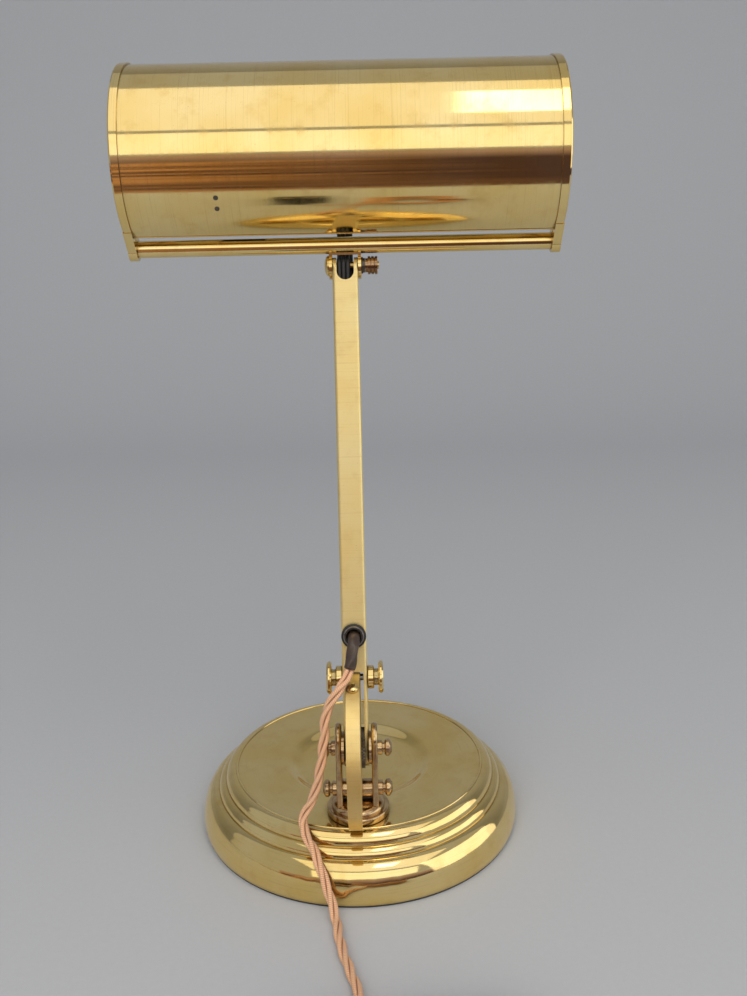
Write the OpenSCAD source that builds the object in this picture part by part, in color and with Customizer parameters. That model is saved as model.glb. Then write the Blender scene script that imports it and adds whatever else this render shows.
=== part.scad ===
// Adjustable brass desk lamp: trough shade on a clamped, tilting arm and a weighted round base.
// Millimetres. Origin at the centre of the base on the table, +Z up, +X along the shade,
// -Y on the side where the flex leaves the arm.

/* [Base] */
// Diameter of the base at its rim
base_d = 190; // [180:1:220]
// Height of the flat plate above the table
base_h = 35; // [32:0.5:44]
// Wall of the spun shell
shell_wall = 1.6; // [1.2:0.1:2]
// Thickness of the felt
felt_t = 1.5; // [1:0.1:2.5]
// Thickness of the steel bottom plate
bottom_t = 1.5; // [1:0.1:2.5]
// Width of the domed rim
dome_w = 10.2; // [8:0.2:13]
// Width of the lower quarter-round step
bead_w = 4.4; // [3:0.2:6]
// Height of the lower quarter-round step
bead_h = 5.1; // [4:0.1:6]
// Width of the upper quarter-round step
step_w = 6.2; // [5:0.2:8]
// Height of the upper quarter-round step
step_h = 6.5; // [5:0.1:8]
// Depth of the shallow dish in the plate
dish_depth = 3.5; // [2.6:0.1:4]

/* [Bracket] */
// Distance of the bracket's axis from the base's rim
bracket_inset = 40; // [38:0.5:41]
// Distance of the dish's edge from the bracket's axis
dish_gap = 10.5; // [10:0.1:13]
// Diameter of the collar's foot
collar_d = 34.5; // [33:0.5:36]
// Height of the collar's foot and of the dome on it
collar_step = 4; // [3:0.1:4.4]
// Thickness of a cheek
cheek_t = 3.3; // [2.5:0.1:4]
// Width of a cheek
cheek_w = 17; // [14:0.5:18]
// Height of the arm's pivot above the plate
pivot_h = 38.8; // [37:0.2:46]
// Distance of the stay pin below the pivot
stay_drop = 24.9; // [22:0.1:25]
// Height of a cheek's top above the pivot
cheek_rise = 14.2; // [11:0.2:18]
// Diameter of the pivot pin
pivot_d = 6; // [5:0.1:7]
// Diameter of the stay pin
stay_d = 5; // [4:0.1:6]

/* [Quadrant] */
// Radius of the quadrant about the pivot
quadrant_r = 43.5; // [42.8:0.1:46]
// Thickness of the quadrant
quadrant_t = 7.2; // [6:0.2:9]
// Angle of the quadrant's foot from straight up, towards the flex
foot_angle = 147; // [120:1:148]
// Diameter of the stop screw's head
stop_head_d = 6.3; // [5:0.1:8]

/* [Arm] */
// Lean of the arm from upright at rest
arm_lean = 12; // [6:1:20]
// Travel of the arm back towards the flex, in degrees
tilt_back = 15; // [6:1:18]
// Travel of the arm away from the flex, in degrees
tilt_out = 55; // [30:1:58]
// Distance from the pivot to the shade's hinge
arm_reach = 260; // [220:1:320]
// Wall of the square tube
arm_wall = 2; // [1.5:0.1:3]
// Radius of the tube's edges
arm_edge = 1.5; // [0.8:0.1:2]
// Distance from the pivot to the clamp axle
clamp_s = 39.3; // [38:0.1:39.6]
// Diameter of the clamp axle
clamp_d = 3.6; // [3:0.1:4]
// Diameter of a clamp knob's disc
knob_d = 17.6; // [14:0.2:22]
// Distance from the pivot to the flex's bush
bush_s = 63.5; // [60:0.5:90]
// Diameter of the bush's bore
bush_bore = 8.2; // [7.6:0.1:8.6]
// Diameter of the rubber sleeve on the flex
sleeve_d = 6.6; // [6:0.1:6.8]

/* [Head] */
// Travel of the shade each way, in degrees
shade_tilt = 50; // [20:1:50]
// Thickness of a yoke ear
ear_t = 1.6; // [1.2:0.1:2.4]
// Width of a yoke ear
ear_w = 13; // [11:0.5:15]
// Height of the rail above the hinge
rail_rise = 10.6; // [10.4:0.1:13]
// Diameter of the rail
rail_d = 8.8; // [7.4:0.1:9]
// Diameter of the hinge screw
hinge_d = 4; // [3:0.1:5]
// Diameter of the thumb nut
nut_d = 9.4; // [8:0.1:12]

/* [Shade] */
// Length of the shade over its end caps
shade_len = 225; // [200:1:260]
// Outer radius of the shade's shell
shade_r = 46; // [44:0.1:48]
// Wall of the shade
shade_wall = 0.8; // [0.6:0.1:1.2]
// Height of the shade's axis above the hinge
shade_rise = 56.2; // [55:0.1:59]
// Distance of the shade's axis beyond the hinge
shade_out = 15; // [13:0.1:17]
// Angle of the lower lip below the level of the axis
lip_angle = 58; // [55:1:61]
// Angle of the shell from lip to lip
shell_angle = 190; // [180:1:200]
// Width of an end cap's rim
rim_w = 4.5; // [3:0.1:7]
// Height of the rim over the shell
rim_t = 0.9; // [0.6:0.1:1.5]

/* [Lamp] */
// Distance of the lampholder's bracket from the middle of the shade
holder_x = 69.5; // [66:0.5:80]
// Diameter of the lampholder's cap
holder_d = 32; // [30:0.5:36]
// Length of the lampholder's cap
holder_len = 24; // [20:0.5:28]
// Diameter of the bulb's glass
bulb_d = 28; // [25:0.5:30]
// Length of the bulb's glass
bulb_len = 96; // [80:1:110]
// Travel of the switch bar
switch_travel = 6; // [4:0.5:8]

/* [Flex and plug] */
// Diameter of the twisted flex
cord_d = 5.6; // [5:0.1:5.6]
// Number of turns in the coil
coil_turns = 6.75; // [5.75:1:6.75]
// Space between neighbouring turns
turn_gap = 0.6; // [0.5:0.1:0.8]
// Smallest radius of the coil
coil_r = 22; // [20:0.5:22]
// Width of the plug
plug_w = 48; // [44:1:52]
// Height of the plug's body
plug_h = 26; // [24:1:30]

/* [Hidden] */
$fn = 64;

// Clearances
run_gap = 0.1;
bore_gap = 0.05;
slot_gap = 0.25;
soft_gap = 0.3;

// Colours
brass = [0.80, 0.64, 0.29];
dark_brass = [0.50, 0.40, 0.22];
steel = [0.55, 0.55, 0.54];
iron = [0.22, 0.22, 0.23];
black = [0.06, 0.06, 0.06];
copper = [0.72, 0.44, 0.29];

// Base
base_r = base_d / 2;
bracket_offset = base_r - bracket_inset;
bead_r = base_r - dome_w;
step_r = bead_r - bead_w;
plate_r = step_r - step_w;
step_z = base_h - step_h;
bead_z = step_z - bead_h;
rim_tuck = 0.8;
rim_h = 3.5;
plate_bead_r = 0.7;
dish_r = bracket_offset - dish_gap;
dish_slope = 9.5;
dish_steps = 14;
arc_steps = 10;
felt_inset = 1.5;
bottom_r = base_r - rim_tuck - shell_wall;
bottom_top = felt_t + bottom_t;
weight_gap = 2;
weight_r = bead_r - shell_wall - weight_gap;
weight_top = bead_z - shell_wall - weight_gap;
weight_boss_r = dish_r - dish_slope - shell_wall - weight_gap;
dish_under = base_h - dish_depth - shell_wall;
plate_under = base_h - shell_wall;
base_screw_d = 4;
base_screw_head_d = 7.6;
base_screw_len = 12;
base_screw_r = 62;

// Bracket and its fixing
cheek_foot = base_h + 0.8 * collar_step;
collar_upper_d = collar_d - 5;
collar_edge = 1;
collar_dome = 9;
collar_wall = 0.8;
stud_d = 6;
stud_depth = 6;
stud_tail = 2;
bolt_hole_gap = 0.2;
washer_d = 13;
washer_h = 1.6;
nut_h = 5;
nut_across = 11.5;
pocket_r = 9;

// Pivot stack along X, from the middle outwards
disc_t = 1;
washer_t = 1.35;
fork_in = quadrant_t / 2 + disc_t + run_gap;
arm_half = fork_in + arm_wall;
cheek_in = arm_half + run_gap + washer_t;
cheek_out = cheek_in + cheek_t;
pin_tail = 5;
pin_end_d = 3.6;
pivot_z = base_h + pivot_h;
disc_r = 11;
disc_teeth = 40;
disc_tooth = 0.5;
pivot_washer_r = 9;
spacer_r = 5;
lug_r = 5.5;
web_half = 5;
hub_r = 12;
spool_d = 8.2;
spool_len = 2.6;
neck_d = 5.6;
neck_len = 1.2;
ball_d = 9.4;
ball_len = 4.2;

// Arm, in its own frame: pivot at the origin, Z along the arm
fork_tail = 9.8;
notch_s = sqrt(pow(quadrant_r + soft_gap, 2) - pow(arm_half - arm_wall, 2));
arm_top_drop = 2.5;
cut_r = 4.5;
cut_drop = 7.9;
knob_boss_d = 12.6;
knob_boss_len = 3.6;
knob_neck_d = 9;
knob_neck_len = 2.4;
knob_disc_t = 2.5;
knob_edge = 0.8;
bush_barrel_d = bush_bore + 1.4;
bush_flange_d = 13.4;
bush_flange_t = 2.2;
eyelet_t = 0.4;
eyelet_w = 0.7;
eyelet_r = bush_bore / 2 + 0.8;
sleeve_dip = (bush_bore - sleeve_d) / 2 - bore_gap;
flex_d = 4.4;

// Quadrant
slot_from = arm_lean - tilt_back - 1;
slot_to = arm_lean + tilt_out + 1;
slot_w = clamp_d + 2 * slot_gap;
slot_end_d = slot_w + 0.6;
quadrant_end = slot_to + 9;
quadrant_x = -disc_t;
quadrant_left = quadrant_x - quadrant_t / 2;
quadrant_right = quadrant_x + quadrant_t / 2;
stop_shank_d = 3;
stop_shank_len = 6;
stop_head_h = 2.4;
stop_slot_w = 0.9;
stop_slot_depth = 1;
stop_slot_turn = -35;
stop_angle = arm_lean - tilt_back - atan2(arm_half, notch_s)
    - asin((stop_head_d / 2 + soft_gap) / quadrant_r) - 0.5;

// Head, in its own frame: hinge at the origin
hinge_y = -bracket_offset + arm_reach * sin(arm_lean);
hinge_z = pivot_z + arm_reach * cos(arm_lean);
ear_in = arm_half + run_gap;
ear_out = ear_in + ear_t;
saddle_low = arm_half - arm_top_drop * cos(arm_lean + shade_tilt) + soft_gap;
ear_tail = 7;
saddle_half = 2.6;
hinge_head_d = 10.6;
hinge_head_t = 2.6;
hinge_washer_d = 8.6;
hinge_washer_t = 1;
nut_len = 6.4;
nut_ribs = 3;
nut_groove = 0.7;
nut_groove_w = 0.5;
nut_collar_len = 1.4;
nut_rib_len = (nut_len - nut_collar_len - (nut_ribs - 1) * nut_groove_w) / nut_ribs;
hinge_tail = 0.8;
shade_half = shade_len / 2;
rail_half = shade_half - rim_w;
spigot_d = 5;
cap_t = 1;
cap_ear_t = rim_w;
cap_ear_r = 6;
cap_neck = 10.6;
cap_seat = 4;
cap_seat_angle = lip_angle - 6;
lip_bead_r = 0.8;
far_angle = shell_angle - lip_angle;
shell_in = shade_r - shade_wall;

// Lampholder, in the shade's frame: shade axis at the origin
bracket_angle = 29.5;
bracket_w = 12;
bracket_t = 1.4;
foot_len = 14;
leg_r = 9;
foot_face = sqrt(pow(shell_in, 2) - pow(bracket_w / 2, 2)) - run_gap / 2;
rivet_d = 2.4;
rivet_side = 3;
rivet_proud = 0.2;
nipple_d = 10;
nipple_bore = 5;
nipple_len = 10;
nipple_flange_d = 15;
nipple_flange_t = 3;
skirt_d = 29;
skirt_len = 24;
skirt_wall = 1.2;
bulb_cap_d = 22;
bulb_cap_len = 25;
bulb_cap_wall = 0.5;
bulb_wall = 0.8;
bulb_neck_len = 6;
switch_d = 5;
switch_out = 7;
holder_z0 = -holder_x + bracket_t;
skirt_z0 = holder_z0 + holder_len;
cap_z0 = skirt_z0 + 2;
glass_z0 = cap_z0 + bulb_cap_len;
wire_d = 0.8;
filament_half = 5;
filament_len = 46;
stem_d = 7;
stem_len = 22;

// Plug, lying on its cover with the pins up
plug_x = -46;
plug_y = -bracket_offset - 181;
plug_len = 48;
plug_split = 12.5;
plug_edge = 6;
relief_len = 22;
relief_d = 12;
pin_side = 11.1;
pin_earth = 22.2;
pin_back = 14;
pin_t = 4;
pin_w = 6.4;
pin_len = 17.7;
earth_w = 8;
earth_len = 22.7;

// Route of the sleeve out of the arm, in the arm's frame
sleeve_route = [
    [0, 0, bush_s - sleeve_dip], [0, -6, bush_s - sleeve_dip], [0, -11, bush_s - sleeve_dip - 0.2],
    [-0.2, -14.5, bush_s - 2.4],
    [-0.6, -17.4, bush_s - 6], [-1.3, -19, bush_s - 10.5], [-2.6, -19.8, bush_s - 14.7]
];

// Route of the flex from the sleeve down over the base to the table, Y from the bracket's axis
sleeve_last = len(sleeve_route) - 1;
sleeve_end = to_world(sleeve_route[sleeve_last]);
sleeve_way = unit(sleeve_end - to_world(sleeve_route[sleeve_last - 1]));
drop_route = [
    [-8, -14.6, 116.6], [-14.4, -15.5, 105.5], [-16.9, -15.5, 87.6], [-19.6, -15.3, 69.6],
    [-24.6, -15, 51.2], [-28.2, -15, 44.2], [-29.8, -16.6, 39.4], [-28.8, -20.6, 35.4],
    [-23.9, -28.3, 29.5], [-19.8, -36.5, 22.4], [-16.4, -41, 13.4], [-13.8, -45.8, 7],
    [-11.8, -52.5, 2.9], [-11, -58, 2.9]
];

// Coil on the table, and the routes into and out of it
coil_x = 52;
coil_y = -bracket_offset - 167;
turn_pitch = cord_d + turn_gap;
layer_h = cord_d + 0.6;
tie_t = 1;
tie_w = 8;
coil_z = cord_d / 2 + tie_t + soft_gap;
coil_mid = coil_turns / 2;
coil_out = coil_r + turn_pitch * coil_mid;
loop_rings = 24;
coil_rings = coil_turns * loop_rings;
coil_in_point = [coil_x - coil_out, coil_y + cord_d, coil_z];
coil_out_point = [coil_x - cord_d, coil_y + coil_out, coil_z + layer_h];
lead_route = [
    [-10.2, -63.5, 2.9], [-8, -75, 2.9], [-4.3, -88, 2.9], [0, -103, 2.9], [4, -119, 2.9],
    [7, -135, 3], [8.7, -149, 3.6]
];
tail_route = [
    [28, -124, 10.5], [13, -124.2, 10.5], [-2, -124.8, 10.5], [-18, -128, 10.6], [-32, -135, 11],
    [-42, -145, 12]
];
plug_entry = [plug_x, plug_y + relief_len, plug_split];

// Points of the coil: steadily in, up one layer in the half turn where it reverses, steadily out
function smooth(x) = x <= 0 ? 0 : x >= 1 ? 1 : x * x * (3 - 2 * x);
function coil_point(u) =
    let (r = coil_r + turn_pitch * abs(u - coil_mid), a = 180 + 360 * u)
    [coil_x + r * cos(a), coil_y + r * sin(a), coil_z + layer_h * smooth(2 * (u - coil_mid) + 0.5)];
coil_route = concat(
    [coil_in_point],
    [for (i = [0 : coil_rings]) coil_point(i / loop_rings)],
    [coil_out_point]
);
coil_gap = min([
    for (i = [0 : len(coil_route) - 1], j = [i + loop_rings / 2 : 1 : len(coil_route) - 1])
        norm(coil_route[i] - coil_route[j]) - cord_d
]);
echo("least gap between the coil's turns, mm", coil_gap);

// Places
function to_world(p) = [
    p[0],
    -bracket_offset + p[1] * cos(arm_lean) + p[2] * sin(arm_lean),
    pivot_z - p[1] * sin(arm_lean) + p[2] * cos(arm_lean)
];
module at_pivot() {
    translate([0, -bracket_offset, pivot_z])
        children();
}
module in_arm() {
    at_pivot()
        rotate([-arm_lean, 0, 0])
            children();
}
module at_hinge() {
    translate([0, hinge_y, hinge_z])
        children();
}
module in_shade() {
    at_hinge()
        translate([0, shade_out, shade_rise])
            children();
}
module both_sides() {
    for (side = [0, 1])
        mirror([side, 0, 0])
            children();
}

// Basic shapes
module rod_x(d, from, to) {
    translate([from, 0, 0])
        rotate([0, 90, 0])
            cylinder(d = d, h = to - from);
}
module turned_x(from) {
    translate([from, 0, 0])
        rotate([0, 90, 0])
            rotate_extrude()
                children();
}
module plate_x(from, to) {
    translate([from, 0, 0])
        rotate([90, 0, 90])
            linear_extrude(to - from)
                children();
}
module rounded_bar(w, edge, h) {
    inner = w - 2 * edge;
    translate([-inner / 2, -w / 2, 0])
        cube([inner, w, h]);
    translate([-w / 2, -inner / 2, 0])
        cube([w, inner, h]);
    for (x = [-1, 1], y = [-1, 1])
        translate([x * inner / 2, y * inner / 2, 0])
            cylinder(r = edge, h = h);
}
module toothed(r, depth, teeth) {
    polygon([
        for (i = [0 : 2 * teeth - 1])
            let (q = i % 2 == 0 ? r : r - depth, a = 180 * i / teeth)
            [q * cos(a), q * sin(a)]
    ]);
}
// Sector of a circle in the plane of Y and Z, angles from straight up towards +Y
module sector(r, from, to) {
    steps = ceil((to - from) / 20);
    polygon(concat(
        [[0, 0]],
        [for (i = [0 : steps]) let (a = from + (to - from) * i / steps) [r * sin(a), r * cos(a)]]
    ));
}

// Tube swept along a route, with every ring square to the way it runs
function unit(v) = v / norm(v);
function heading(p, i) = unit(p[min(i + 1, len(p) - 1)] - p[max(i - 1, 0)]);
function ring(p, i, r, sides, side) =
    let (t = heading(p, i), a = unit(cross(side, t)), b = cross(t, a))
    [for (k = [0 : sides - 1]) p[i] + r * (a * cos(360 * k / sides) + b * sin(360 * k / sides))];
module swept(p, d, sides, side) {
    last = len(p) - 1;
    points = [for (i = [0 : last]) each ring(p, i, d / 2, sides, side)];
    start = [for (k = [1 : sides - 2]) [0, k, k + 1]];
    end = [for (k = [1 : sides - 2]) [last * sides, last * sides + k + 1, last * sides + k]];
    walls = [
        for (i = [0 : last - 1], k = [0 : sides - 1])
            let (a = i * sides + k, b = i * sides + (k + 1) % sides, c = b + sides, e = a + sides)
            each [[a, e, b], [b, e, c]]
    ];
    polyhedron(points, concat(start, end, walls));
}

// Base
function quarter(cx, cz, w, h) = [
    for (i = [0 : arc_steps - 1]) let (a = 90 * i / arc_steps) [cx + w * cos(a), cz + h * sin(a)]
];
function shell_outline(inset) = let (
    rim_z = felt_t + rim_h,
    bead_c = plate_r - plate_bead_r,
    outside = concat(
        [[base_r - rim_tuck, felt_t - 1], [base_r - rim_tuck, felt_t]],
        quarter(bead_r, rim_z, dome_w, bead_z - rim_z),
        quarter(step_r, bead_z, bead_w, bead_h),
        quarter(plate_r, step_z, step_w, step_h),
        [for (i = [0 : arc_steps]) let (a = 180 * i / arc_steps)
            [bead_c + plate_bead_r * cos(a), base_h + plate_bead_r * sin(a)]]
    ),
    dish = [for (i = [0 : dish_steps]) let (t = i / dish_steps)
        [dish_r - dish_slope * t, base_h - dish_depth * smooth(t)]]
) concat(
    [[0, felt_t - 1 - inset]],
    [for (p = outside) [p[0] - inset, p[1] - inset]],
    [for (p = dish) [p[0] + inset, p[1] - inset]],
    [[0, base_h - dish_depth - inset]]
);
module shell_solid(inset) {
    rotate_extrude($fn = 128)
        polygon(shell_outline(inset));
}
module base_shell() {
    color(brass)
        difference() {
            shell_solid(0);
            shell_solid(shell_wall);
            translate([0, 0, felt_t - 2])
                cylinder(r = base_r, h = 2);
            translate([0, -bracket_offset, 0])
                cylinder(d = stud_d + 2 * bolt_hole_gap, h = 2 * base_h);
        }
}
module base_felt() {
    color(black)
        cylinder(r = base_r - felt_inset, h = felt_t);
}
module base_screw_places() {
    for (a = [90, 210, 330])
        rotate([0, 0, a])
            translate([base_screw_r, 0, felt_t])
                children();
}
module base_screw_solid() {
    cylinder(d = base_screw_head_d, h = bottom_t);
    cylinder(d = base_screw_d, h = bottom_t + base_screw_len);
}
module base_screws() {
    color(steel)
        base_screw_places()
            base_screw_solid();
}
module base_bottom() {
    color(steel)
        difference() {
            translate([0, 0, felt_t])
                cylinder(r = bottom_r, h = bottom_t);
            base_screw_places()
                base_screw_solid();
        }
}
module base_weight() {
    color(iron)
        difference() {
            union() {
                translate([0, 0, bottom_top])
                    cylinder(r = weight_r, h = weight_top - bottom_top);
                translate([0, 0, bottom_top])
                    cylinder(r = weight_boss_r, h = dish_under - bottom_top);
            }
            translate([0, -bracket_offset, 0])
                cylinder(r = pocket_r, h = base_h);
            base_screw_places()
                base_screw_solid();
        }
}

// Bracket on the base plate
module at_collar(z) {
    translate([0, -bracket_offset, z])
        children();
}
module collar_outline() {
    foot_r = collar_d / 2;
    top_r = collar_upper_d / 2;
    polygon(concat(
        [[0, 0], [foot_r - collar_edge / 2, 0], [foot_r, collar_edge / 2]],
        quarter(foot_r - collar_edge, collar_step - collar_edge, collar_edge, collar_edge),
        [[foot_r - collar_edge, collar_step], [top_r, collar_step]],
        quarter(top_r - collar_dome, collar_step + collar_wall, collar_dome, collar_step - collar_wall),
        [[top_r - collar_dome, 2 * collar_step], [0, 2 * collar_step]]
    ));
}
module cheek_outline() {
    r = cheek_w / 2;
    translate([0, cheek_rise - r])
        circle(r);
    translate([-r, cheek_foot - pivot_z])
        square([cheek_w, pivot_z + cheek_rise - r - cheek_foot]);
}
module bracket() {
    color(dark_brass)
        difference() {
            union() {
                at_collar(base_h)
                    rotate_extrude()
                        collar_outline();
                at_pivot()
                    both_sides()
                        plate_x(cheek_in, cheek_out)
                            cheek_outline();
            }
            at_collar(base_h - 1)
                cylinder(d = stud_d, h = stud_depth + 1);
            at_pivot()
                rod_x(pivot_d, -2 * cheek_out, 2 * cheek_out);
            at_pivot()
                translate([0, 0, -stay_drop])
                    rod_x(stay_d, -2 * cheek_out, 2 * cheek_out);
        }
}
module bracket_stud() {
    low = plate_under - washer_h - nut_h - stud_tail;
    color(steel)
        at_collar(low)
            cylinder(d = stud_d, h = base_h + stud_depth - low);
}
module bracket_washer() {
    color(steel)
        at_collar(plate_under - washer_h)
            difference() {
                cylinder(d = washer_d, h = washer_h);
                translate([0, 0, -1])
                    cylinder(d = stud_d, h = washer_h + 2);
            }
}
module bracket_nut() {
    color(steel)
        at_collar(plate_under - washer_h - nut_h)
            difference() {
                cylinder(d = nut_across, h = nut_h, $fn = 6);
                translate([0, 0, -1])
                    cylinder(d = stud_d, h = nut_h + 2);
            }
}

// Cross pins, their turned nuts and what runs on them
module spool_outline() {
    ball_r = ball_d / 2;
    crown = 1.2;
    a = spool_len;
    b = a + neck_len;
    c = b + ball_len;
    difference() {
        polygon([
            [0, 0], [spool_d / 2, 0], [spool_d / 2, a - 0.4], [spool_d / 2 - 0.4, a],
            [neck_d / 2, a], [neck_d / 2, b], [ball_r - 0.9, b], [ball_r, b + 0.9],
            [ball_r, c - crown - 0.6], [ball_r - 0.6, c - crown], [ball_r - 2, c - 0.3], [0, c]
        ]);
        square([pin_end_d / 2, pin_tail]);
    }
}
module cross_nuts() {
    color(dark_brass)
        both_sides()
            turned_x(cheek_out)
                spool_outline();
}
module cross_pin(d) {
    rod_x(d, -cheek_out, cheek_out);
    rod_x(pin_end_d, -cheek_out - pin_tail, cheek_out + pin_tail);
}
module pivot_pin() {
    color(steel)
        at_pivot()
            cross_pin(pivot_d);
}
module pivot_nuts() {
    at_pivot()
        cross_nuts();
}
module stay_pin() {
    color(steel)
        at_pivot()
            translate([0, 0, -stay_drop])
                cross_pin(stay_d);
}
module stay_nuts() {
    at_pivot()
        translate([0, 0, -stay_drop])
            cross_nuts();
}
module ring_x(r, bore, from, to) {
    difference() {
        rod_x(2 * r, from, to);
        rod_x(bore, from - 1, to + 1);
    }
}
module stay_spacers() {
    color(dark_brass)
        at_pivot()
            translate([0, 0, -stay_drop]) {
                ring_x(spacer_r, stay_d, -cheek_in, quadrant_left);
                ring_x(spacer_r, stay_d, quadrant_right, cheek_in);
            }
}
module pivot_washers() {
    color(dark_brass)
        at_pivot()
            both_sides()
                ring_x(pivot_washer_r, pivot_d, cheek_in - washer_t, cheek_in);
}
module friction_discs() {
    color(steel)
        at_pivot()
            for (i = [0, 1])
                difference() {
                    plate_x(quadrant_right + i * disc_t, quadrant_right + (i + 1) * disc_t)
                        rotate(i * 180 / disc_teeth)
                            toothed(disc_r, disc_tooth, disc_teeth);
                    rod_x(pivot_d, 0, cheek_in);
                }
}

// Quadrant: a thick sector held by both cross pins, with a slot for the clamp axle
module quadrant_slot() {
    half = quadrant_t;
    intersection() {
        difference() {
            rod_x(2 * clamp_s + slot_w, -half, half);
            rod_x(2 * clamp_s - slot_w, -2 * half, 2 * half);
        }
        plate_x(-half, half)
            sector(2 * quadrant_r, slot_from, slot_to);
    }
    for (a = [slot_from, slot_to])
        rotate([-a, 0, 0])
            translate([0, 0, clamp_s])
                rod_x(slot_end_d, -half, half);
}
module at_quadrant() {
    at_pivot()
        translate([quadrant_x, 0, 0])
            children();
}
module stop_axis() {
    rotate([-stop_angle, 0, 0])
        translate([0, 0, quadrant_r])
            children();
}
module stop_shank() {
    translate([0, 0, -stop_shank_len])
        cylinder(d = stop_shank_d, h = stop_shank_len + stop_head_h / 2);
}
module stop_seat() {
    translate([0, 0, -1])
        cylinder(d = stop_head_d, h = 4);
}
module quadrant() {
    half = quadrant_t / 2;
    color(brass)
        at_quadrant()
            difference() {
                union() {
                    intersection() {
                        rod_x(2 * quadrant_r, -half, half);
                        plate_x(-half, half)
                            sector(2 * quadrant_r, -foot_angle, quadrant_end);
                    }
                    rod_x(2 * hub_r, -half, half);
                    translate([0, 0, -stay_drop])
                        rod_x(2 * lug_r, -half, half);
                    translate([-half, -web_half, -stay_drop])
                        cube([quadrant_t, 2 * web_half, stay_drop]);
                }
                quadrant_slot();
                rod_x(pivot_d, -quadrant_t, quadrant_t);
                translate([0, 0, -stay_drop])
                    rod_x(stay_d, -quadrant_t, quadrant_t);
                stop_axis()
                    stop_seat();
                stop_axis()
                    stop_shank();
            }
}
module stop_screw() {
    r = stop_head_d / 2;
    color(brass)
        at_quadrant()
            stop_axis()
                difference() {
                    union() {
                        stop_shank();
                        translate([0, 0, -1])
                            rotate_extrude()
                                polygon([
                                    [0, 0], [r, 0], [r, 1 + stop_head_h / 3], [0.85 * r, 1 + 0.7 * stop_head_h],
                                    [0.5 * r, 1 + 0.93 * stop_head_h], [0, 1 + stop_head_h]
                                ]);
                    }
                    rotate([0, 0, stop_slot_turn])
                        translate([-stop_slot_w / 2, -stop_head_d, stop_head_h - stop_slot_depth])
                            cube([stop_slot_w, 2 * stop_head_d, 2 * stop_slot_depth]);
                }
}

// Arm
module arm_blank() {
    w = 2 * arm_half;
    low = arm_half - fork_tail;
    top = arm_reach - arm_top_drop;
    intersection() {
        translate([0, 0, -2 * fork_tail])
            rounded_bar(w, arm_edge, arm_reach + 4 * fork_tail);
        union() {
            translate([-w, -w, low])
                cube([2 * w, 2 * w, top - low]);
            for (s = [low, top])
                translate([0, 0, s])
                    rod_x(w, -w, w);
        }
    }
}
module arm_tube() {
    w = 2 * arm_half;
    cut_s = arm_reach - cut_drop + cut_r;
    color(brass)
        in_arm()
            difference() {
                arm_blank();
                translate([-fork_in, -fork_in, 0])
                    cube([2 * fork_in, 2 * fork_in, 2 * arm_reach]);
                translate([-fork_in, -w, -2 * fork_tail])
                    cube([2 * fork_in, 2 * w, 2 * fork_tail + notch_s]);
                rod_x(pivot_d + 2 * bore_gap, -w, w);
                translate([0, 0, clamp_s])
                    rod_x(clamp_d, -w, w);
                translate([0, 0, arm_reach])
                    rod_x(hinge_d + 2 * bore_gap, -w, w);
                translate([0, 0, bush_s])
                    rotate([90, 0, 0])
                        cylinder(d = bush_barrel_d, h = w);
                translate([0, 0, cut_s])
                    rotate([90, 0, 0])
                        cylinder(r = cut_r, h = w);
                translate([-cut_r, -w, cut_s])
                    cube([2 * cut_r, w, w]);
            }
}
module at_clamp() {
    in_arm()
        translate([0, 0, clamp_s])
            children();
}
module clamp_axle() {
    reach = arm_half + knob_boss_len + knob_neck_len;
    color(steel)
        at_clamp()
            rod_x(clamp_d, -reach, reach);
}
module knob_outline(bore, gap) {
    a = gap + knob_boss_len;
    b = gap + knob_boss_len + knob_neck_len;
    c = b + knob_disc_t;
    boss = knob_boss_d / 2;
    neck = knob_neck_d / 2;
    rim = knob_d / 2;
    groove = 0.5;
    difference() {
        polygon([
            [0, gap], [boss - groove, gap], [boss, gap + groove], [boss, a - groove], [boss - groove, a],
            [neck, a], [neck, b], [rim - knob_edge, b], [rim, b + knob_edge], [rim, c - knob_edge],
            [rim - knob_edge, c], [0, c]
        ]);
        square([bore / 2, knob_boss_len + knob_neck_len + gap]);
    }
}
module clamp_knob_left() {
    color(brass)
        at_clamp()
            mirror([1, 0, 0])
                turned_x(arm_half)
                    knob_outline(clamp_d, 0);
}
module clamp_knob_right() {
    color(brass)
        at_clamp()
            turned_x(arm_half)
                knob_outline(clamp_d + 2 * bore_gap, run_gap);
}
module at_bush() {
    in_arm()
        translate([0, -arm_half, bush_s])
            rotate([90, 0, 0])
                children();
}
module cord_bush() {
    flange = bush_flange_d / 2;
    round = bush_flange_t / 2;
    color(black)
        at_bush()
            rotate_extrude()
                polygon(concat(
                    [[bush_bore / 2, -arm_wall], [bush_barrel_d / 2, -arm_wall], [bush_barrel_d / 2, 0]],
                    [for (i = [0 : arc_steps]) let (a = -90 + 180 * i / arc_steps)
                        [flange - round + round * cos(a), round + round * sin(a)]],
                    [[bush_bore / 2, bush_flange_t]]
                ));
}
module bush_eyelet() {
    color(steel)
        at_bush()
            rotate_extrude()
                polygon([
                    [eyelet_r, bush_flange_t], [eyelet_r + eyelet_w, bush_flange_t],
                    [eyelet_r + eyelet_w - 0.2, bush_flange_t + eyelet_t],
                    [eyelet_r + 0.1, bush_flange_t + eyelet_t]
                ]);
}
module cord_sleeve() {
    color([0.20, 0.14, 0.11])
        in_arm()
            swept(sleeve_route, sleeve_d, 10, [1, 0, 0]);
}
module arm_flex() {
    low = bush_s - sleeve_dip + sleeve_d / 2 + soft_gap;
    color(black)
        in_arm()
            translate([0, 0, low])
                cylinder(d = flex_d, h = arm_reach - cut_drop - low);
}

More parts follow.
